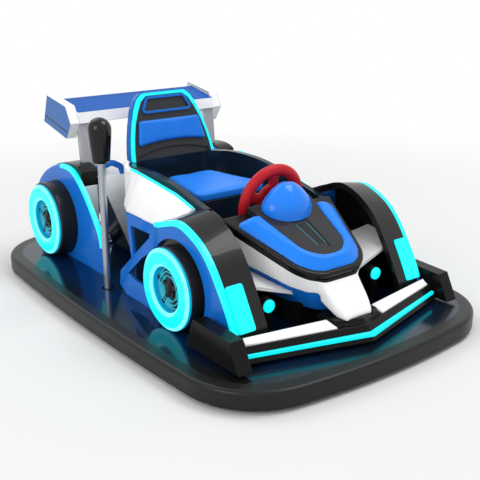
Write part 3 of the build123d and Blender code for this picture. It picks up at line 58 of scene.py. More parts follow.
class Wire:
    """One value in a material's node tree; arithmetic on wires adds Math nodes."""

    def __init__(self, finish, socket):
        self.finish = finish
        self.socket = socket

    def math(self, operation, *terms, clamp=False):
        return self.finish.node("ShaderNodeMath", {"operation": operation, "use_clamp": clamp}, *terms)

    def __add__(self, other):
        return self.math("ADD", self, other)

    def __radd__(self, other):
        return self.math("ADD", other, self)

    def __sub__(self, other):
        return self.math("SUBTRACT", self, other)

    def __rsub__(self, other):
        return self.math("SUBTRACT", other, self)

    def __mul__(self, other):
        return self.math("MULTIPLY", self, other)

    def __truediv__(self, other):
        return self.math("DIVIDE", self, other)

    def __pow__(self, other):
        return self.math("POWER", self, other)

    def __abs__(self):
        return self.math("ABSOLUTE", self)

    def over(self, limit, blur=0.002):
        """0 below the limit and 1 above it, with a soft step as wide as the blur."""
        step = {"interpolation_type": "SMOOTHSTEP"}
        low, high = limit - blur / 2, limit + blur / 2
        return self.finish.node("ShaderNodeMapRange", step, self, low, high, 0.0, 1.0)

    def within(self, low, high, blur=0.002):
        """1 between two limits and 0 outside them."""
        return self.over(low, blur) * (1 - self.over(high, blur))


class NodeMaker:
    """A node tree that is filled through one method."""

    def __init__(self, tree):
        self.tree = tree
        self.tree.nodes.clear()
        self._place = None

    def node(self, kind, settings=None, *inputs, out=0, **named):
        """Adds a node: its settings first, then its inputs in order or by name; returns one output."""
        made = self.tree.nodes.new(kind)
        for key, value in (settings or {}).items():
            setattr(made, key, value)
        pairs = [(made.inputs[i], v) for i, v in enumerate(inputs)]
        pairs += [(made.inputs[k.replace("_", " ")], v) for k, v in named.items()]
        for socket, value in pairs:
            if isinstance(value, Wire):
                self.tree.links.new(value.socket, socket)
            elif value is not None:
                socket.default_value = value
        return Wire(self, made.outputs[out])

    def place(self):
        """Object coordinates: the wires of the whole vector and of x, y and z, in metres."""
        if self._place is None:
            vector = self.node("ShaderNodeTexCoord", None, out=3)
            split = self.node("ShaderNodeSeparateXYZ", None, vector)
            outs = split.socket.node.outputs
            self._place = (vector, *(Wire(self, outs[i]) for i in range(3)))
        return self._place

    def seen_directly(self):
        """1 for what the camera, a reflection or a look through glass meets, 0 for light on the object."""
        camera = self.node("ShaderNodeLightPath", None, out=0)
        outs = camera.socket.node.outputs
        glossy, through = Wire(self, outs["Is Glossy Ray"]), Wire(self, outs["Is Transmission Ray"])
        return (camera + glossy).math("ADD", camera + glossy, through, clamp=True)

    def noise(self, scale, detail=2.0, rough=0.5, stretch=(1.0, 1.0, 1.0)):
        """Cloudy noise, scale in cycles a metre, 0 to 1 about 0.5; stretch slows it along an axis."""
        vector = self.place()[0]
        if stretch != (1.0, 1.0, 1.0):
            vector = self.node("ShaderNodeMapping", None, vector, Scale=stretch)
        return self.node("ShaderNodeTexNoise", None, vector, None, scale, detail, rough)

    def cells(self, scale):
        """Distance to the nearest cell edge of a Voronoi pattern, for moulded grain."""
        feature = {"feature": "DISTANCE_TO_EDGE"}
        return self.node("ShaderNodeTexVoronoi", feature, self.place()[0], None, scale)

    def mix(self, share, first, second):
        """Colour between two colours by a wire from 0 to 1."""
        made = self.tree.nodes.new("ShaderNodeMix")
        made.data_type = "RGBA"
        for index, value in ((0, share), (6, first), (7, second)):
            if isinstance(value, Wire):
                self.tree.links.new(value.socket, made.inputs[index])
            elif index == 0:
                made.inputs[index].default_value = value
            else:
                made.inputs[index].default_value = value if len(value) == 4 else (*value, 1.0)
        return Wire(self, made.outputs[2])


class Finish(NodeMaker):
    """One material: a Principled BSDF and the nodes that feed it."""

    def __init__(
        self, name, colour, roughness=0.4, metallic=0.0, coat=0.0, coat_roughness=0.05, specular=0.5
    ):
        self.material = bpy.data.materials.new(name)
        self.material.use_nodes = True
        super().__init__(self.material.node_tree)
        self.shader = self.tree.nodes.new("ShaderNodeBsdfPrincipled")
        self.output = self.tree.nodes.new("ShaderNodeOutputMaterial")
        self.tree.links.new(self.shader.outputs["BSDF"], self.output.inputs["Surface"])
        self.colour = (*colour, 1.0)
        self.feed("Base Color", self.colour)
        self.feed("Roughness", roughness)
        self.feed("Metallic", metallic)
        self.feed("Coat Weight", coat)
        self.feed("Coat Roughness", coat_roughness)
        self.feed("Specular IOR Level", specular)
        self.material.diffuse_color = self.colour

    def feed(self, name, value):
        """Gives a shader socket a constant or a wire."""
        socket = self.shader.inputs[name]
        if isinstance(value, Wire):
            self.tree.links.new(value.socket, socket)
        else:
            socket.default_value = value
        return self

    def relief(self, height, distance, edge=0.002, strength=1.0):
        """Bump from a height wire over edges rounded by a small radius."""
        rounded = self.node("ShaderNodeBevel", {"samples": 6}, edge) if edge else None
        bump = self.node(
            "ShaderNodeBump", None, Strength=strength, Distance=distance, Height=height, Normal=rounded
        )
        return self.feed("Normal", bump)


def shade(colour, factor):
    """A colour made darker or lighter by a factor."""
    return tuple(min(1.0, c * factor) for c in colour[:3])


def gloss_shell(name, colour, roughness=0.2, coat=0.08, edge=0.003, specular=0.16, areas=()):
    """Gloss moulded shell: slight cloudiness in its colour, handling haze in its gloss, faint orange peel.

    Each area is a function of the finish that gives a mask, and the colour there."""
    f = Finish(name, colour, roughness, coat=coat, specular=specular)
    haze = f.noise(5.0, 4.0)
    specks = f.noise(60.0, 2.0)
    base = f.mix(haze, shade(colour, 0.95), shade(colour, 1.03))
    for area, other in areas:
        base = f.mix(area(f), base, f.mix(haze, shade(other, 0.95), shade(other, 1.03)))
    f.feed("Base Color", base)
    f.feed("Roughness", roughness + (haze - 0.5) * 0.10 + (specks - 0.5) * 0.05)
    f.relief(f.noise(190.0, 2.0), 0.00012, edge)
    return f


def satin_rubber(name, colour):
    """Moulded rubber: grey bloom in patches, scuffs along the height of the ring and a fine grain."""
    f = Finish(name, colour, 0.34, specular=0.24)
    z = f.place()[3]
    bloom = f.noise(7.0, 5.0)
    scuff = f.noise(16.0, 5.0, 0.6, (1.0, 1.0, 7.0)).over(0.62, 0.16) * z.within(0.022, 0.062, 0.02)
    base = f.mix(bloom, shade(colour, 0.8), shade(colour, 1.25))
    f.feed("Base Color", f.mix(scuff * 0.35, base, shade(colour, 3.2)))
    f.feed("Roughness", 0.27 + bloom * 0.12 + scuff * 0.2)
    f.relief(f.cells(900.0) * 0.6 + f.noise(350.0) * 0.5, 0.00018, 0.0)
    return f


def soft_pad(name, colour):
    """Smooth soft-touch covering: fine leather-like pores, a slight sheen and slight cloudiness in its
    colour.
    """
    f = Finish(name, colour, 0.36, specular=0.22)
    f.feed("Sheen Weight", 0.05)
    f.feed("Sheen Roughness", 0.4)
    cloud = f.noise(9.0, 4.0)
    f.feed("Base Color", f.mix(cloud, shade(colour, 0.90), shade(colour, 1.05)))
    f.feed("Roughness", 0.30 + cloud * 0.14)
    f.relief(f.cells(420.0) * 0.8 + f.noise(900.0) * 0.3, 0.00022, 0.0)
    return f


def brushed_metal(name, colour, along="Z", roughness=0.3):
    """Drawn steel: fine lines along one axis, uneven polish and a few darker handling marks."""
    f = Finish(name, colour, roughness, metallic=1.0)
    stretch = tuple(0.03 if a == along else 1.0 for a in "XYZ")
    lines = f.noise(900.0, 2.0, 0.6, stretch)
    marks = f.noise(14.0, 4.0)
    f.feed("Base Color", f.mix(marks, shade(colour, 0.82), shade(colour, 1.1)))
    f.feed("Roughness", roughness + (lines - 0.5) * 0.16 + (marks - 0.5) * 0.1)
    f.relief(lines, 0.00006, 0.0015)
    return f


def powder_coat(name, colour):
    """Powder coated frame: fine texture, and dust in patches that are duller where it lies."""
    f = Finish(name, colour, 0.5)
    dust = f.noise(11.0, 5.0)
    f.feed("Base Color", f.mix(dust, shade(colour, 0.8), shade(colour, 1.5)))
    f.feed("Roughness", 0.44 + dust * 0.2)
    f.relief(f.noise(700.0, 2.0), 0.00018, 0.0015)
    return f


TURNED_LINES = 2600.0         # phase of the lines on a tyre, in radians a metre


def solid_tyre(name, colour):
    """Solid rubber tyre: turned lines round it and a scuffed running face."""
    f = Finish(name, colour, 0.7)
    x = f.place()[1]
    scuff = f.noise(45.0, 5.0, 0.6, (3.0, 1.0, 1.0))
    phase = x * TURNED_LINES
    lines = phase.math("SINE", phase)
    f.feed("Base Color", f.mix(scuff, shade(colour, 0.7), shade(colour, 2.2)))
    f.feed("Roughness", 0.58 + scuff * 0.3)
    f.relief(lines * 0.4 + scuff, 0.00030, 0.001)
    return f


def lit_plastic(name, colour, level=1.0, areas=()):
    """Translucent plastic lit from behind, with slightly uneven light; areas as for a gloss shell."""
    f = Finish(name, shade(colour, 0.25), 0.25, coat=0.1, specular=0.25)
    cloud = f.noise(22.0, 2.0)
    glow = f.mix(cloud, shade(colour, 0.94), shade(colour, 1.04))
    for area, other in areas:
        glow = f.mix(area(f), glow, other)
    f.feed("Emission Color", glow)
    f.feed("Emission Strength", level)
    f.feed("Roughness", 0.2 + cloud * 0.1)
    f.relief(cloud, 0.00005, 0.002)
    return f


def paint(finish, *names):
    """Gives CAD nodes a finish."""
    for name in names:
        for slot in NODES[name].material_slots:
            slot.material = finish.material


# ------------------------------------------------------------ surfaces

def new_piece(name, points, faces, finish, body, slot_name):
    """Puts arrays of points and faces into a mesh and lets it ride on a body."""
    mesh = bpy.data.meshes.new(name)
    mesh.from_pydata(np.asarray(points, float).reshape(-1, 3), [], np.asarray(faces, int).tolist())
    mesh.validate()
    mesh.update()
    piece = bpy.data.objects.new(name, mesh)
    bpy.context.scene.collection.objects.link(piece)
    mesh.materials.append(finish.material)
    mesh.shade_smooth()
    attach(piece, body)
    return piece


def grid_faces(rows, columns, wrap_columns=False):
    """Quads between neighbouring points of a grid of rows by columns, its columns closed round if asked."""
    across = columns if wrap_columns else columns - 1
    i, j = np.meshgrid(np.arange(rows - 1), np.arange(across), indexing="ij")
    i, j = i.ravel(), j.ravel()
    k, m = (i + 1) % rows, (j + 1) % columns
    return np.stack([i * columns + j, i * columns + m, k * columns + m, k * columns + j], 1)


def turned(profile, centre, axis, count=48):
    """Surface of revolution: each profile point (radius, height) goes round the axis at its centre."""
    profile = np.asarray(profile, float)
    axis = Vector(axis).normalized()
    side = axis.orthogonal().normalized()
    up = axis.cross(side)
    angle = np.linspace(0, 2 * np.pi, count, endpoint=False)
    ring = np.outer(np.cos(angle), side) + np.outer(np.sin(angle), up)
    points = (
        np.asarray(centre, float)
        + profile[:, None, :1] * ring[None]
        + profile[:, None, 1:2] * np.asarray(axis)[None, None]
    )
    return points.reshape(-1, 3), grid_faces(len(profile), count, wrap_columns=True)


def outward(piece):
    """Merges doubles and turns every face of a closed mesh outwards."""
    work = bmesh.new()
    work.from_mesh(piece.data)
    bmesh.ops.remove_doubles(work, verts=work.verts, dist=1e-6)
    bmesh.ops.recalc_face_normals(work, faces=work.faces)
    work.to_mesh(piece.data)
    work.free()
    piece.data.update()


def join_grids(parts):
    """Several point and face arrays as one."""
    points, faces, start = [], [], 0
    for p, f in parts:
        points.append(p)
        faces.append(np.asarray(f) + start)
        start += len(p)
    return np.concatenate(points), np.concatenate(faces)


SHARP_EDGE = math.radians(30)   # edges at least this sharp are rounded
CREASE = math.radians(40)       # edges sharper than this stay sharp in the shading


def soften(piece, width):
    """Rounds a piece's sharp edges and shades it smooth between its creases."""
    bevel = piece.modifiers.new("soften", "BEVEL")
    bevel.width = width
    bevel.segments = 2
    bevel.limit_method = "ANGLE"
    bevel.angle_limit = SHARP_EDGE
    bevel.harden_normals = False
    apply_modifiers(piece)
    piece.data.shade_smooth()
    piece.data.set_sharp_from_angle(angle=CREASE)


def apply_modifiers(piece):
    """Replaces a piece's mesh by what its modifiers give."""
    bpy.context.view_layer.update()
    graph = bpy.context.evaluated_depsgraph_get()
    mesh = bpy.data.meshes.new_from_object(piece.evaluated_get(graph))
    piece.modifiers.clear()
    piece.data = mesh


def read_points(piece):
    """A piece's points as an array of rows."""
    points = np.empty(len(piece.data.vertices) * 3)
    piece.data.vertices.foreach_get("co", points)
    return points.reshape(-1, 3)


def write_points(piece, points):
    """Puts an array of rows back as a piece's points."""
    piece.data.vertices.foreach_set("co", points.ravel())


def merged_copy(node, name, finish):
    """A CAD node's mesh, merged, as a piece of its own."""
    mesh = NODES[node].data.copy()
    mesh.name = name
    mesh.materials.clear()
    mesh.materials.append(finish.material)
    piece = bpy.data.objects.new(name, mesh)
    bpy.context.scene.collection.objects.link(piece)
    outward(piece)
    return piece


def add_skin(piece, voxel):
    """Modifier that wraps a piece's closed parts in one even skin."""
    skin = piece.modifiers.new("skin", "REMESH")
    skin.mode = "VOXEL"
    skin.voxel_size = voxel


def add_relax(piece, factor, steps, group=""):
    """Modifier that evens out a skin, all over or by the weights of a group."""
    relax = piece.modifiers.new("relax", "SMOOTH")
    relax.factor = factor
    relax.iterations = steps
    relax.vertex_group = group


def cover(piece, finish):
    """Gives a remeshed piece its one finish and smooth shading."""
    piece.data.materials.clear()
    piece.data.materials.append(finish.material)
    piece.data.shade_smooth()


MOULD_RELAX = 0.6             # share of each smoothing step, on mouldings
PAD_RELAX = 0.5               # and on pads
WEIGHT_STEPS = 10             # levels in which a weight is stored
CLOTH_STEPS = 20              # frames for which a pad is blown up


def fuse(piece, voxel, steps, finish):
    """Joins a piece's overlapping closed parts into one skin and lets the inner corners flow."""
    add_skin(piece, voxel)
    add_relax(piece, MOULD_RELAX, steps)
    apply_modifiers(piece)
    cover(piece, finish)


def moulded(name, node, finish, body="root", voxel=0.0035, even=2, flow=0, where=None):
    """A rigid moulding from its plain solid: one skin, its edges eased, and flowing where a weight is given.

    The weight of a point is a function of the array of points, from 0 to 1."""
    piece = merged_copy(node, name, finish)
    add_skin(piece, voxel)
    add_relax(piece, MOULD_RELAX, even)
    apply_modifiers(piece)
    if flow:
        weights = where(read_points(piece))
        group = piece.vertex_groups.new(name="flow")
        for share in np.arange(1, WEIGHT_STEPS + 1) / WEIGHT_STEPS:
            picked = np.flatnonzero(np.abs(weights - share) <= 0.5 / WEIGHT_STEPS)
            if len(picked):
                group.add(picked.tolist(), float(share), "REPLACE")
        add_relax(piece, MOULD_RELAX, flow, "flow")
        apply_modifiers(piece)
        piece.vertex_groups.clear()
    cover(piece, finish)
    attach(piece, body)
    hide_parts(node)
    return piece


def blow_up(piece, pressure, rise):
    """Swells a skin by cloth pressure, with no point moving further than the rise."""
    rest = read_points(piece)
    cloth = piece.modifiers.new("cloth", "CLOTH")
    cloth.settings.use_pressure = True
    cloth.settings.uniform_pressure_force = pressure
    cloth.settings.effector_weights.gravity = 0.0
    cloth.point_cache.frame_start = 1
    cloth.point_cache.frame_end = CLOTH_STEPS
    for step in range(1, CLOTH_STEPS + 1):
        bpy.context.scene.frame_set(step)
    apply_modifiers(piece)
    bpy.context.scene.frame_set(1)
    move = read_points(piece) - rest
    far = np.linalg.norm(move, axis=1, keepdims=True)
    write_points(piece, rest + move * np.minimum(1.0, rise / np.maximum(far, 1e-9)))


def stuffed(
    name, node, finish,
    voxel=0.005, shrink=0.0005, pressure=4.0, rise=0.008, bed=None, even=3,
):
    """A padded piece from its plain solid: drawn in a little, remeshed, blown up and evened out.

    The bed is a function that moves the array of points before that, to seat the pad."""
    piece = merged_copy(node, name, finish)
    points = read_points(piece)
    middle = (points.min(0) + points.max(0)) / 2
    half = np.maximum((points.max(0) - points.min(0)) / 2, 1e-6)
    points = middle + (points - middle) * np.maximum(1 - shrink / half, 0.5)
    write_points(piece, bed(points) if bed else points)
    add_skin(piece, voxel)
    apply_modifiers(piece)
    blow_up(piece, pressure, rise)
    add_relax(piece, PAD_RELAX, even)
    finer = piece.modifiers.new("finer", "SUBSURF")
    finer.levels = finer.render_levels = 1
    apply_modifiers(piece)
    cover(piece, finish)
    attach(piece, "root")
    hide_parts(node)
    return piece


# ------------------------------------------------------------ settings

def colour_setting(name, description, default):
    """A colour that a user may change."""
    return FloatVectorProperty(
        name=name, description=description, subtype="COLOR", size=3, min=0.0, max=1.0, default=default
    )


def rise_setting(name, description, default):
    """How far a pad may swell, which a user may change."""
    return FloatProperty(
        name=name, description=description, unit="LENGTH", default=default, min=0.0, max=0.02
    )


class CarColours(bpy.types.PropertyGroup):
    """Colours of the car's finishes."""

    white: colour_setting("Body white", "Gloss white of the body shells", (0.92, 0.92, 0.925))
    blue: colour_setting("Body blue", "Gloss blue of fenders and frames", (0.006, 0.150, 0.60))
    pad: colour_setting("Pad blue", "Brighter blue of the soft parts", (0.008, 0.22, 0.90))
    black: colour_setting("Trim black", "Gloss black trim", (0.006, 0.006, 0.006))
    # black of the tub, with a navy tint that is a painted reflection
    tub: colour_setting("Tub black", "Blue-black of the cockpit tub", (0.007, 0.017, 0.032))
    navy: colour_setting("Deck navy", "Mirror sheet that the body stands on", (0.002, 0.022, 0.075))
    rubber: colour_setting("Rubber", "Bumper ring", (0.009, 0.009, 0.009))
    light: colour_setting("Light", "Cyan of the lit parts", (0.005, 0.88, 0.93))
    red: colour_setting("Grip red", "Hand wheel", (0.52, 0.012, 0.020))
    steel: colour_setting("Steel", "Lever, axle and fork", (0.42, 0.44, 0.48))


class CarSizes(bpy.types.PropertyGroup):
    """Sizes of the parts that are made here."""

    seat_rise: rise_setting("Seat crown", "Most that the seat pad swells", 0.0045)
    back_rise: rise_setting("Back crown", "Most that the back pad swells", 0.0025)
    hood_rise: rise_setting("Hood pad crown", "Most that the hood pad swells", 0.0015)


def colours():
    return bpy.context.scene.car_colours


def sizes():
    return bpy.context.scene.car_sizes


# ------------------------------------------------------------ pieces

EDGE = 0.0008                 # soft step at the edge of a painted field
FINE_EDGE = 0.0006            # and where the field ends at a plate's face
DECK_LEVEL = 0.0734           # top of the deck

RING_INNER = 0.443            # where a ring sits on its tyre form, from the middle of the car
RING_FACE = 0.460             # its outer face
RING_HOLE = 0.56              # hole over ring radius
DISH_FLOOR = 0.429            # floor of the dish inside a ring
# y and height of the centre, ring radius
RINGS = ((-0.315, 0.213, 0.137), (0.597, 0.225, 0.141))

# half sizes of the oblong towards which the deck turns from navy to black, and where and how softly it does
DECK_FADE = (0.57, 0.86)
DECK_RIM = (0.62, 0.75)


class RIDECAR_OT_base(bpy.types.Operator):
    """Finishes the bumper ring, the deck and the chassis under it"""

    bl_idname = "ridecar.base"
    bl_label = "Bumper ring, deck and chassis"

    def execute(self, context):
        c = colours()
        paint(satin_rubber("rubber_ring", c.rubber), "bumper_ring")
        deck = Finish("mirror_deck", c.navy, 0.06, coat=0.1, coat_roughness=0.03)
        deck.feed("Specular Tint", (0.12, 0.55, 1.0, 1.0))
        x, y = deck.place()[1:3]
        reach = ((x / DECK_FADE[0]) ** 4.0) + ((abs(y) / DECK_FADE[1]) ** 4.0)
        rim = reach.over(*DECK_RIM)
        haze = deck.noise(6.0, 4.0)
        sheet = deck.mix(haze, shade(c.navy, 0.85), shade(c.navy, 1.2))
        deck.feed("Base Color", deck.mix(rim, sheet, shade(c.rubber, 0.8)))
        deck.feed("Roughness", 0.045 + haze * 0.03 + rim * 0.12)
        deck.relief(deck.noise(3.0, 1.0), 0.0004, 0.0)
        paint(deck, "deck")
        paint(powder_coat("frame_coat", (0.03, 0.03, 0.033)), "chassis_frame")
        paint(powder_coat("battery_case", (0.02, 0.02, 0.022)), "battery_block")
        return {"FINISHED"}


class RIDECAR_OT_running_gear(bpy.types.Operator):
    """Finishes the rear axle, the steered fork and the three running wheels"""

    bl_idname = "ridecar.running_gear"
    bl_label = "Axle, fork and wheels"

    def execute(self, context):
        c = colours()
        paint(brushed_metal("axle_steel", c.steel, "X"), "rear_axle")
        paint(brushed_metal("fork_steel", c.steel, "Z"), "drive_fork")
        tyre = solid_tyre("tyre_rubber", (0.02, 0.02, 0.02))
        paint(tyre, "rear_wheel_left", "rear_wheel_right", "drive_wheel")
        return {"FINISHED"}


# the hood lies on a raked plane: y and level at its front, and its slope
HOOD_FRONT = -0.646
HOOD_SEAT = 0.26068
HOOD_SLOPE = 0.42
UNDER_RIM = 0.011             # width of the black band on the nose below the hood

PAD_UNDERSIDE = 0.003         # what lies within this of a pad's lowest level is its underside
PAD_BED = 0.005               # how deep the underside is let in

TONGUE_START = -0.600         # y at which the nose begins to turn into its tongue
TONGUE_RUN = 0.045            # length over which it does so
TONGUE_HALF = 0.125           # half width of the tongue's field
TONGUE_SIDE = 0.03            # and the width over which that fades


def into_the_rim(points):
    """The pad's points with its underside let into the rim, so that its edge shows as one clean line."""
    level = points[:, 2] - HOOD_SEAT - HOOD_SLOPE * (points[:, 1] - HOOD_FRONT)
    under = level < level.min() + PAD_UNDERSIDE
    return points - np.outer(under, (0, 0, PAD_BED))


def tongue_share(points):
    """1 on the tongue of the nose and 0 on the shell behind it, by soft steps along and across the car."""
    along = np.clip((TONGUE_START - points[:, 1]) / TONGUE_RUN, 0, 1)
    across = np.clip((TONGUE_HALF - np.abs(points[:, 0])) / TONGUE_SIDE, 0, 1)
    share = along * across
    return share * share * (3 - 2 * share)


class RIDECAR_OT_nose(bpy.types.Operator):
    """Makes the nose's moulded white shell and finishes its blue sides and black skirt"""

    bl_idname = "ridecar.nose"
    bl_label = "Nose"

    def execute(self, context):
        c = colours()

        def under_the_rim(f):
            y, z = f.place()[2:]
            level = z - (y - HOOD_FRONT) * HOOD_SLOPE
            return level.over(HOOD_SEAT - UNDER_RIM, EDGE)

        white = gloss_shell("nose_white", c.white, 0.16, areas=((under_the_rim, tuple(c.black)),))
        moulded(
            "nose_shell", "nose_cone", white,
            voxel=0.003, even=3, flow=90, where=tongue_share,
        )
        paint(gloss_shell("nose_blue", c.blue, 0.2), "nose_side")
        paint(gloss_shell("skirt_black", c.black, 0.3), "nose_skirt")
        return {"FINISHED"}


# the two lines on the console, which draw together towards the front
INLAY_SPAN = (-0.552, -0.452)    # y of their ends
INLAY_ORIGIN = -0.56             # y at which their distances are measured
INLAY_SPLAY = 0.045              # how much wider they stand for each metre further back
INLAY_LINE = (0.0150, 0.0195)    # inner and outer edge of a line, from the middle of the car
INLAY_FIELD = 0.0145             # half width of the darker field between them


class RIDECAR_OT_hood(bpy.types.Operator):
    """Makes the hood's stuffed pad and finishes its rim, its console with two inlaid lines, and the dome"""

    bl_idname = "ridecar.hood"
    bl_label = "Hood, console and dome"

    def execute(self, context):
        c = colours()
        paint(gloss_shell("hood_rim_black", c.black, 0.22, edge=0.006), "hood_rim")
        stuffed(
            "hood_cover", "hood_pad", soft_pad("hood_pad_blue", c.pad),
            voxel=0.0035, shrink=0.0, pressure=2.0, rise=sizes().hood_rise,
            bed=into_the_rim, even=10,
        )

        def off_the_middle(f):
            x, y = f.place()[1:3]
            return abs(x) - (y - INLAY_ORIGIN) * INLAY_SPLAY

        def inlaid_lines(f):
            return off_the_middle(f).within(*INLAY_LINE, EDGE) * f.place()[2].within(*INLAY_SPAN, 0.012)

        def inlaid_field(f):
            inside = 1 - off_the_middle(f).over(INLAY_FIELD, EDGE)
            return inside * f.place()[2].within(*INLAY_SPAN, 0.004)

        lines = ((inlaid_field, (0.008, 0.010, 0.012)), (inlaid_lines, (0.015, 0.16, 0.20)))
        paint(gloss_shell("console_dark", (0.022, 0.023, 0.025), 0.24, areas=lines), "hood_console")
        paint(gloss_shell("dome_blue", tuple(c.pad), 0.26, 0.3), "dash_dome")
        return {"FINISHED"}


class RIDECAR_OT_cockpit(bpy.types.Operator):
    """Finishes the tub and its pan and makes the stuffed seat pad"""

    bl_idname = "ridecar.cockpit"
    bl_label = "Tub and seat"

    def execute(self, context):
        c = colours()
        # the tub's navy tint is a painted reflection on its black
        paint(gloss_shell("tub_gloss", c.tub, 0.16, edge=0.004), "seat_tub", "seat_pan")
        pad = soft_pad("seat_cover", c.pad)
        stuffed("seat_pad", "seat_cushion", pad, rise=sizes().seat_rise)
        return {"FINISHED"}


class RIDECAR_OT_backrest(bpy.types.Operator):
    """Finishes the backrest shell, its lit edge and head plate and makes the stuffed back pad"""

    bl_idname = "ridecar.backrest"
    bl_label = "Backrest"

    def execute(self, context):
        c = colours()
        paint(gloss_shell("back_shell_blue", shade(c.blue, 0.8), 0.24), "backrest_shell")
        paint(gloss_shell("back_panel_black", (0.03, 0.032, 0.036), 0.3), "backrest_panel")
        paint(lit_plastic("back_edge_light", c.light, 0.9), "backrest_led")
        paint(gloss_shell("head_plate_frame", shade(c.blue, 0.9), 0.22), "headrest_frame")
        pad = soft_pad("back_cover", shade(c.pad, 0.85))
        stuffed("back_pad", "backrest_pad", pad, rise=sizes().back_rise)
        return {"FINISHED"}


WHEEL_CENTRE = np.array((0.0, -0.29, 0.424))
WHEEL_RAKE = math.radians(10.0)
WHEEL_AXIS = (0.0, math.cos(WHEEL_RAKE), math.sin(WHEEL_RAKE))
WHEEL_SPOKES = 5
WHEEL_SKIN = 0.0022           # voxel of the skin that fuses the wheel
GRIP_RING = 0.1165            # middle of the grip
GRIP_HALF = (0.0205, 0.0175)  # half its width across the wheel and along the axis
SPOKE_ROOT = 0.030            # where a spoke begins, from the axis
SPOKE_RUN = 0.084             # and its length
SPOKE_WAIST = 0.0190          # half width in the middle of its length
SPOKE_FLARE = 0.013           # what its ends add to that
SPOKE_THICK = 0.009           # half thickness at the hub
SPOKE_GAIN = 0.002            # what the rim end adds to that
SPOKE_SQUARE = 0.7            # power that makes its round section squarer
# radius and height along the axis, round the hub's section
HUB = ((0.0, -0.009), (0.062, -0.009), (0.068, -0.005), (0.068, 0.006), (0.061, 0.010), (0.0, 0.010))


def wheel_frame():
    """Sideways, upward and axial directions of the hand wheel."""
    axis = np.array(WHEEL_AXIS)
    side = np.array((1.0, 0.0, 0.0))
    return side, np.cross(side, axis), axis


def wheel_spoke(angle, rows=24, count=20):
    """One spoke: a rounded oblong carried outwards from the hub, waisted in the middle of its length.

    Its half width is the waist plus the flare times the fourth power of the way from its middle; its half
    thickness grows evenly outwards; its section is a circle whose cosine and sine are raised to a power."""
    side, up, axis = wheel_frame()
    out = math.cos(angle) * side + math.sin(angle) * up
    across = -math.sin(angle) * side + math.cos(angle) * up
    t = np.linspace(0, 1, rows)[:, None]
    v = np.linspace(0, 2 * np.pi, count, endpoint=False)[None]
    reach = SPOKE_ROOT + t * SPOKE_RUN
    wide = SPOKE_WAIST + SPOKE_FLARE * np.abs(2 * t - 1) ** 4
    thick = SPOKE_THICK + SPOKE_GAIN * t
    x = wide * np.sign(np.cos(v)) * np.abs(np.cos(v)) ** SPOKE_SQUARE
    y = thick * np.sign(np.sin(v)) * np.abs(np.sin(v)) ** SPOKE_SQUARE
    points = WHEEL_CENTRE + reach[..., None] * out + x[..., None] * across + y[..., None] * axis
    faces = grid_faces(rows, count, wrap_columns=True)
    ends = [points[0].mean(0), points[-1].mean(0)]
    flat = np.concatenate([points.reshape(-1, 3), ends])
    here = np.arange(count)
    following = (here + 1) % count
    last = (rows - 1) * count
    root_tip, rim_tip = np.full(count, rows * count), np.full(count, rows * count + 1)
    low = np.stack([here, following, root_tip, root_tip], 1)
    high = np.stack([last + following, last + here, rim_tip, rim_tip], 1)
    return flat, np.concatenate([faces, low, high])


def hand_wheel(finish):
    """Moulded hand wheel: an oval grip ring, waisted spokes and a flat hub, fused by a fine remesh."""
    turn = np.linspace(0, 2 * np.pi, 20, endpoint=False)
    ring = [(GRIP_RING + GRIP_HALF[0] * math.cos(t), GRIP_HALF[1] * math.sin(t)) for t in turn]
    parts = [turned(ring + ring[:1], WHEEL_CENTRE, WHEEL_AXIS, 90), turned(HUB, WHEEL_CENTRE, WHEEL_AXIS, 60)]
    for k in range(WHEEL_SPOKES):
        parts.append(wheel_spoke(math.pi / 2 + 2 * math.pi * k / WHEEL_SPOKES))
    piece = new_piece("hand_wheel_grip", *join_grids(parts), finish, "hand_wheel", "wheel_red")
    outward(piece)
    fuse(piece, WHEEL_SKIN, 6, finish)
    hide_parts("steering_wheel")
    return piece


class RIDECAR_OT_controls(bpy.types.Operator):
    """Makes the hand wheel and finishes its column, the lever and the lever's knob"""

    bl_idname = "ridecar.controls"
    bl_label = "Hand wheel and lever"

    def execute(self, context):
        c = colours()
        hand_wheel(gloss_shell("grip_red", c.red, 0.42, 0.0, 0.0, 0.2))
        paint(powder_coat("column_black", (0.03, 0.03, 0.032)), "steering_column")
        paint(brushed_metal("lever_steel", c.steel, "Z", 0.34), "lever_rod")
        paint(gloss_shell("knob_gloss", (0.008, 0.008, 0.008), 0.14, 0.25), "lever_knob")
        return {"FINISHED"}


class RIDECAR_OT_sides(bpy.types.Operator):
    """Makes the moulded white side pods and finishes the blue side frames and the lit lines along the body"""

    bl_idname = "ridecar.sides"
    bl_label = "Side pods, frames and edge lights"

    def execute(self, context):
        c = colours()
        white = gloss_shell("pod_white", c.white, 0.18, edge=0.0)
        moulded("side_pod_shells", "side_pods", white, voxel=0.004, even=8)
        paint(gloss_shell("frame_blue", c.blue, 0.2, edge=0.003), "side_frames")
        paint(lit_plastic("edge_light", c.light), "edge_lights")
        return {"FINISHED"}


POD_FRONT = -0.185            # where the white side pods end at the front


class RIDECAR_OT_front_fenders(bpy.types.Operator):
    """Finishes the front fenders, their side plates, shoulders and lit panels"""

    bl_idname = "ridecar.front_fenders"
    bl_label = "Front fenders"

    def execute(self, context):
        c = colours()

        def over_the_pod(f):
            return f.place()[2].over(POD_FRONT, EDGE)

        tip = ((over_the_pod, tuple(c.white)),)
        paint(gloss_shell("shoulder_black", c.black, 0.3, 0.3, 0.004, areas=tip), "fender_shoulders")
        paint(gloss_shell("fender_black", c.black, 0.3, 0.3, 0.004), "front_fenders")
        paint(gloss_shell("fender_side_blue", c.blue, 0.2), "front_fender_sides")
        paint(lit_plastic("lamp_panel", c.light), "front_lamps")
        paint(gloss_shell("arm_white", shade(c.white, 0.85), 0.25), "suspension_arms")
        return {"FINISHED"}


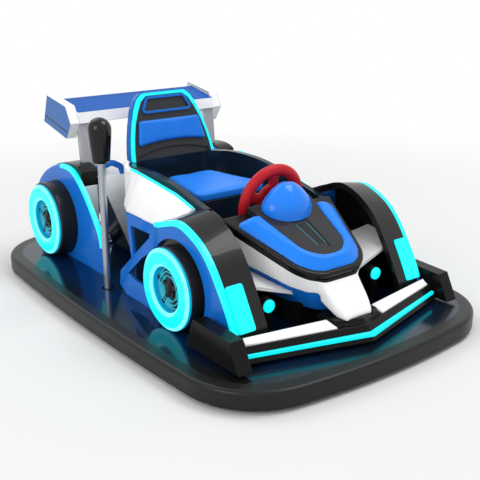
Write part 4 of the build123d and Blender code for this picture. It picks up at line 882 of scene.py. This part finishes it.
GAP_SHADE_RADII = (0.1485, 0.1520)  # inner and outer radius of the painted shade of the gap round a rear wheel
REAR_SIDE_FACE = 0.3770       # just inside the outer face of the rear side plates

# the cover's slanted sides: half width at the deck, growth with height, and where they end
COVER_FOOT = 0.1628
COVER_SLANT = 0.375
COVER_TOP = 0.4145
COVER_FRONT = 0.3925


class RIDECAR_OT_rear_body(bpy.types.Operator):
    """Finishes the rear fenders, the white rear body and its stays"""

    bl_idname = "ridecar.rear_body"
    bl_label = "Rear body"

    def execute(self, context):
        c = colours()

        # painted shade: a dark ring on the plate's outer face where the gap round the tyre lies
        def wheel_gap_shade(f):
            x, y, z = f.place()[1:]
            cy, cz = RINGS[1][:2]
            span = ((y - cy) ** 2.0 + (z - cz) ** 2.0) ** 0.5
            return span.within(*GAP_SHADE_RADII, EDGE) * abs(x).over(REAR_SIDE_FACE, FINE_EDGE)

        # colour of the painted gap shade
        line = ((wheel_gap_shade, (0.002, 0.01, 0.03)),)
        paint(gloss_shell("rear_side_blue", (0.008, 0.165, 0.66), 0.18, areas=line), "rear_fender_sides")
        paint(gloss_shell("rear_top_black", c.black, 0.24, edge=0.004), "rear_fender_tops")
        paint(gloss_shell("rear_white", c.white, 0.2), "rear_fender_boxes")

        def slanted_sides(f):
            x, y, z = f.place()[1:]
            side = abs(x) - (z - DECK_LEVEL) * COVER_SLANT
            return side.over(COVER_FOOT, 0.001) * (1 - z.over(COVER_TOP, 0.001)) * y.over(COVER_FRONT, 0.001)

        dark_sides = ((slanted_sides, (0.008, 0.008, 0.009)),)
        paint(gloss_shell("cover_white", c.white, 0.2, areas=dark_sides), "rear_cover")
        paint(gloss_shell("stay_blue", shade(c.blue, 0.8), 0.2), "rear_stays")
        return {"FINISHED"}


RINGS_APART = 0.14            # y between the front and rear rings

# share of the hole's radius, half width and height of each band inside a ring
BANDS = ((0.90, 0.0016, 0.0055), (0.74, 0.0016, 0.0105), (0.56, 0.0013, 0.0105))
# width and depth of the bevels at a ring's hole and at its outside
HOLE_BEVEL = (0.011, 0.008)
OUTER_BEVEL = (0.013, 0.009)
RING_SOFT = 0.0012            # rounding of a ring's edges
DISH_CIRCLES = 60.0           # turns of phase, in radians, over a hole's radius
CAP_RADIUS = 0.0165
CAP_WALL = 0.009              # height of a cap's upright wall
CAP_CROWN = 0.006             # and of the dome on it
RING_BEVEL = (0.4520, 0.4596)  # x between which a ring's bevels lie
RING_WALL = 0.4512            # what lies inside this is a ring's inner wall


def from_ring_centre(f):
    """Wire of the distance from the nearer ring's axis, in hole radii."""
    y, z = f.place()[2:]
    rear = y.over(RINGS_APART, 0.01)
    spans = [(((y - cy) ** 2.0 + (z - cz) ** 2.0) ** 0.5) / (radius * RING_HOLE) for cy, cz, radius in RINGS]
    return spans[0] * (1 - rear) + spans[1] * rear


def on_both_sides(shape):
    """A pair of point and face arrays and its mirror image across the car."""
    points, faces = shape
    return [(points, faces), (points * (-1, 1, 1), faces[:, ::-1])]


def ring_section(radius, hole):
    """Section of a ring with both edges of its face bevelled: radius, and height off the tyre form."""
    thick = RING_FACE - RING_INNER
    return [
        (hole, 0), (hole, thick - HOLE_BEVEL[1]), (hole + HOLE_BEVEL[0], thick),
        (radius - OUTER_BEVEL[0], thick), (radius, thick - OUTER_BEVEL[1]), (radius, 0), (hole, 0),
    ]


def cap_section():
    """Section of a cap: an upright wall and a quarter ellipse over it."""
    rise = np.linspace(0, np.pi / 2, 7)
    dome = [(CAP_RADIUS * math.cos(t), CAP_WALL + CAP_CROWN * math.sin(t)) for t in rise[:-1]]
    return [(0.0, 0.0), (CAP_RADIUS, 0.0)] + dome + [(0.0, CAP_WALL + CAP_CROWN)]


def tyre_form_finish(c):
    """Black tyre form with a lit inner wall round its dish and fine lit circles on the dish's floor."""
    f = gloss_shell("tyre_form_black", (0.016, 0.014, 0.013), 0.3, 0.1)
    span = from_ring_centre(f)
    x = abs(f.place()[1])
    above_floor = x.over(DISH_FLOOR + 0.001, 0.001)
    wall = span.within(0.955, 1.01, 0.01) * above_floor * (1 - x.over(RING_INNER - 0.0005, 0.0005))
    glow = f.mix(wall, (0.0, 0.0, 0.0), (0.0, 0.25, 0.50))
    phase = span * DISH_CIRCLES
    circles = phase.math("SINE", phase).over(0.7, 0.3)
    on_floor = (1 - x.over(DISH_FLOOR + 0.002, 0.001)) * (1 - span.over(0.95, 0.02))
    f.feed("Emission Color", f.mix(circles * on_floor, glow, (0.01, 0.13, 0.19)))
    f.feed("Emission Strength", 1.0)
    return f


class RIDECAR_OT_rings(bpy.types.Operator):
    """Makes the four bevelled lit rings with the bands and caps inside them, and finishes the tyre forms"""

    bl_idname = "ridecar.rings"
    bl_label = "Lit rings"

    def execute(self, context):
        c = colours()
        outwards = (1, 0, 0)
        rings, bands, caps = [], [], []
        for y, z, radius in RINGS:
            hole = radius * RING_HOLE
            floor = (DISH_FLOOR, y, z)
            rings += on_both_sides(turned(ring_section(radius, hole), (RING_INNER, y, z), outwards, 96))
            for share, wide, high in BANDS:
                r = hole * share
                loop = [(r - wide, 0), (r - wide, high), (r + wide, high), (r + wide, 0), (r - wide, 0)]
                bands += on_both_sides(turned(loop, floor, outwards, 72))
            caps += on_both_sides(turned(cap_section(), floor, outwards, 36))

        def bevel(f):
            return abs(f.place()[1]).within(*RING_BEVEL, FINE_EDGE)

        def inner_wall(f):
            return 1 - abs(f.place()[1]).over(RING_WALL, 0.001)

        areas = ((bevel, (0.24, 1.0, 1.0)), (inner_wall, (0.0, 0.29, 0.56)))
        finish = lit_plastic("ring_light", c.light, 1.0, areas)
        ring = new_piece("lit_rings", *join_grids(rings), finish, "root", "glow_cyan")
        outward(ring)
        soften(ring, RING_SOFT)
        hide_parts("glow_rings")
        finish = lit_plastic("band_light", (0.03, 0.40, 0.50), 0.8)
        outward(new_piece("rim_bands", *join_grids(bands), finish, "root", "glow_cyan"))
        finish = gloss_shell("cap_black", c.black, 0.25)
        outward(new_piece("rim_caps", *join_grids(caps), finish, "root", "trim_black"))
        paint(tyre_form_finish(c), "glow_hubs")
        return {"FINISHED"}


class RIDECAR_OT_front_wing(bpy.types.Operator):
    """Finishes the front wing, its lit line, white insets, end plates and the two head lamps"""

    bl_idname = "ridecar.front_wing"
    bl_label = "Front wing and lamps"

    def execute(self, context):
        c = colours()
        paint(gloss_shell("wing_black", c.black, 0.22, 0.05, 0.004, 0.1), "front_wing", "front_wing_plates")
        paint(lit_plastic("wing_light", c.light, 0.85), "front_wing_led")
        paint(gloss_shell("inset_white", c.white, 0.2), "front_insets")
        paint(lit_plastic("head_lamp", c.light), "head_lamps")
        paint(gloss_shell("post_black", c.black, 0.35), "lamp_posts")
        return {"FINISHED"}


# the rear wing's underside lies on a plane: y and level of a line in it, and its slope
WING_PLANE = (0.5, 0.6557, 0.15)
WING_LINES = ((0.6335, 0.6365), (0.6475, 0.6500))   # y of the lines at the trailing edge
PLATE_FACES = (0.3183, 0.3578)                      # just past the inner face of the plates, and the outer
# the dark line low on a plate: y and lower and upper level of a line in it, and its slope
PLATE_LINE = (0.534, 0.579, 0.585, 0.207)
STRUT_TURN = 0.262                                  # x at which a strut's white inside turns to the painted grey shade of its outer part


class RIDECAR_OT_rear_wing(bpy.types.Operator):
    """Finishes the rear wing, its end plates and struts"""

    bl_idname = "ridecar.rear_wing"
    bl_label = "Rear wing"

    def execute(self, context):
        c = colours()
        white = tuple(c.white)

        def lip_and_underside(f):
            y, z = f.place()[2:]
            start, level, slope = WING_PLANE
            return 1 - (z - (y - start) * slope).over(level, EDGE)

        def trailing_lines(f):
            y = f.place()[2]
            return y.within(*WING_LINES[0], EDGE) + y.within(*WING_LINES[1], EDGE)

        def inner_face_shade(f):
            return 1 - abs(f.place()[1]).over(PLATE_FACES[0], FINE_EDGE)

        def outer_face(f):
            return abs(f.place()[1]).over(PLATE_FACES[1], FINE_EDGE)

        def dark_line(f):
            y, z = f.place()[2:]
            start, low, high, slope = PLATE_LINE
            return outer_face(f) * (z - (y - start) * slope).within(low, high, EDGE)

        def strut_inside(f):
            return 1 - abs(f.place()[1]).over(STRUT_TURN, 0.03)

        blue = (0.003, 0.095, 0.42)
        areas = ((trailing_lines, shade(blue, 0.35)), (lip_and_underside, white))
        paint(gloss_shell("wing_top_blue", blue, 0.32, 0.0, specular=0.05, areas=areas), "rear_wing")
        # the plates' inner faces are white darkened to grey, a painted shade
        areas = (
            (inner_face_shade, shade(white, 0.66)),
            (outer_face, (0.030, 0.14, 0.42)),
            (dark_line, (0.012, 0.014, 0.02)),
        )
        paint(gloss_shell("wing_plate_white", white, 0.22, areas=areas), "rear_wing_plates")
        # white inside and painted grey further out: a painted shade on the strut's outer side
        areas = ((strut_inside, white),)
        paint(gloss_shell("strut_white_painted_shade", (0.40, 0.40, 0.41), 0.25, areas=areas), "rear_wing_struts")
        return {"FINISHED"}


AMBIENT = 0.68                # strength of the white surroundings as light
PLAIN_WHITE = (1.0, 1.0, 1.0, 1.0)
FLOOR_HALF = 30.0
FLOOR_FADE = (1.3, 3.6)       # distance from the car over which the floor turns plain white
AIM = Vector((0, 0, 0.2))     # where the lamps point
CAMERA_PLACE = (-1.73516, -2.39145, 1.19686)
CAMERA_AZIMUTH, CAMERA_PITCH = math.radians(-37.31), math.radians(18.56)
CAMERA_LENS = 61.39
# name, place, side of the lamp and its watts
LAMPS = (
    ("key", (2.4, -1.6, 5.4), 3.0, 150.0),
    ("left_fill", (-5.0, -1.6, 2.6), 3.0, 100.0),
    ("back", (-0.6, 3.4, 4.6), 3.4, 60.0),
)


def floor_finish():
    """Pale matt floor that keeps the car's shadow near it and fades to plain white further off."""
    f = Finish("floor_pale", (0.745, 0.745, 0.745), 0.95, specular=0.0)
    x, y = f.place()[1:3]
    away = (x * x + y * y) ** 0.5
    far = f.node("ShaderNodeMapRange", {"interpolation_type": "SMOOTHSTEP"}, away, *FLOOR_FADE, 0.0, 1.0)
    white = f.node("ShaderNodeEmission", None, PLAIN_WHITE, 1.0)
    share = far * f.seen_directly()
    both = f.node("ShaderNodeMixShader", None, share, Wire(f, f.shader.outputs["BSDF"]), white)
    f.tree.links.new(both.socket, f.output.inputs["Surface"])
    return f


class RIDECAR_OT_stage(bpy.types.Operator):
    """Makes the pale floor, the white surroundings, the soft lamps and the camera"""

    bl_idname = "ridecar.stage"
    bl_label = "Studio"

    def execute(self, context):
        scene = context.scene
        corners = [(i * FLOOR_HALF, j * FLOOR_HALF, 0.0) for i, j in ((-1, -1), (1, -1), (1, 1), (-1, 1))]
        mesh = bpy.data.meshes.new("floor")
        mesh.from_pydata(corners, [], [[0, 1, 2, 3]])
        mesh.materials.append(floor_finish().material)
        floor = bpy.data.objects.new("floor", mesh)
        scene.collection.objects.link(floor)
        scene.world = bpy.data.worlds.new("studio_white")
        scene.world.use_nodes = True
        sky = NodeMaker(scene.world.node_tree)
        light = sky.node("ShaderNodeBackground", None, PLAIN_WHITE, AMBIENT)
        shown = sky.node("ShaderNodeBackground", None, PLAIN_WHITE, 1.0)
        both = sky.node("ShaderNodeMixShader", None, sky.seen_directly(), light, shown)
        out = sky.tree.nodes.new("ShaderNodeOutputWorld")
        sky.tree.links.new(both.socket, out.inputs["Surface"])
        for name, spot, size, watts in LAMPS:
            lamp = bpy.data.lights.new(name, "AREA")
            lamp.shape = "SQUARE"
            lamp.size = size
            lamp.energy = watts
            holder = bpy.data.objects.new(name, lamp)
            scene.collection.objects.link(holder)
            aim = AIM - Vector(spot)
            holder.matrix_world = Matrix.Translation(spot) @ aim.to_track_quat("-Z", "Y").to_matrix().to_4x4()
        flat, rise = math.cos(CAMERA_PITCH), math.sin(CAMERA_PITCH)
        right = Vector((math.cos(CAMERA_AZIMUTH), math.sin(CAMERA_AZIMUTH), 0))
        back = Vector((math.sin(CAMERA_AZIMUTH) * flat, -math.cos(CAMERA_AZIMUTH) * flat, rise))
        up = back.cross(right)
        camera = bpy.data.cameras.new("camera")
        camera.sensor_width = 36.0
        camera.lens = CAMERA_LENS
        camera.clip_end = 100.0
        holder = bpy.data.objects.new("camera", camera)
        scene.collection.objects.link(holder)
        turn = Matrix((right, up, back)).transposed().to_4x4()
        holder.matrix_world = Matrix.Translation(CAMERA_PLACE) @ turn
        scene.camera = holder
        scene.view_settings.view_transform = "Standard"
        return {"FINISHED"}


class RIDECAR_PT_panel(bpy.types.Panel):
    """Lists the car's pieces and its settings"""

    bl_label = "Ride car"
    bl_idname = "RIDECAR_PT_panel"
    bl_space_type = "VIEW_3D"
    bl_region_type = "UI"
    bl_category = "Ride car"

    def draw(self, context):
        layout = self.layout
        for group in (context.scene.car_colours, context.scene.car_sizes):
            for key in group.__annotations__:
                layout.prop(group, key)
        for kind in PIECES:
            layout.operator(kind.bl_idname)


PIECES = (
    RIDECAR_OT_base, RIDECAR_OT_running_gear, RIDECAR_OT_nose, RIDECAR_OT_hood, RIDECAR_OT_cockpit,
    RIDECAR_OT_backrest, RIDECAR_OT_controls, RIDECAR_OT_sides, RIDECAR_OT_front_fenders,
    RIDECAR_OT_rear_body, RIDECAR_OT_rings, RIDECAR_OT_front_wing, RIDECAR_OT_rear_wing, RIDECAR_OT_stage,
)
CLASSES = (CarColours, CarSizes) + PIECES + (RIDECAR_PT_panel,)


def register():
    for kind in CLASSES:
        bpy.utils.register_class(kind)
    bpy.types.Scene.car_colours = PointerProperty(type=CarColours)
    bpy.types.Scene.car_sizes = PointerProperty(type=CarSizes)


def unregister():
    del bpy.types.Scene.car_colours
    del bpy.types.Scene.car_sizes
    for kind in reversed(CLASSES):
        bpy.utils.unregister_class(kind)


def main():
    """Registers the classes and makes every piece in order."""
    register()
    for kind in PIECES:
        group, name = kind.bl_idname.split(".")
        getattr(getattr(bpy.ops, group), name)()


if __name__ == "__main__":
    main()
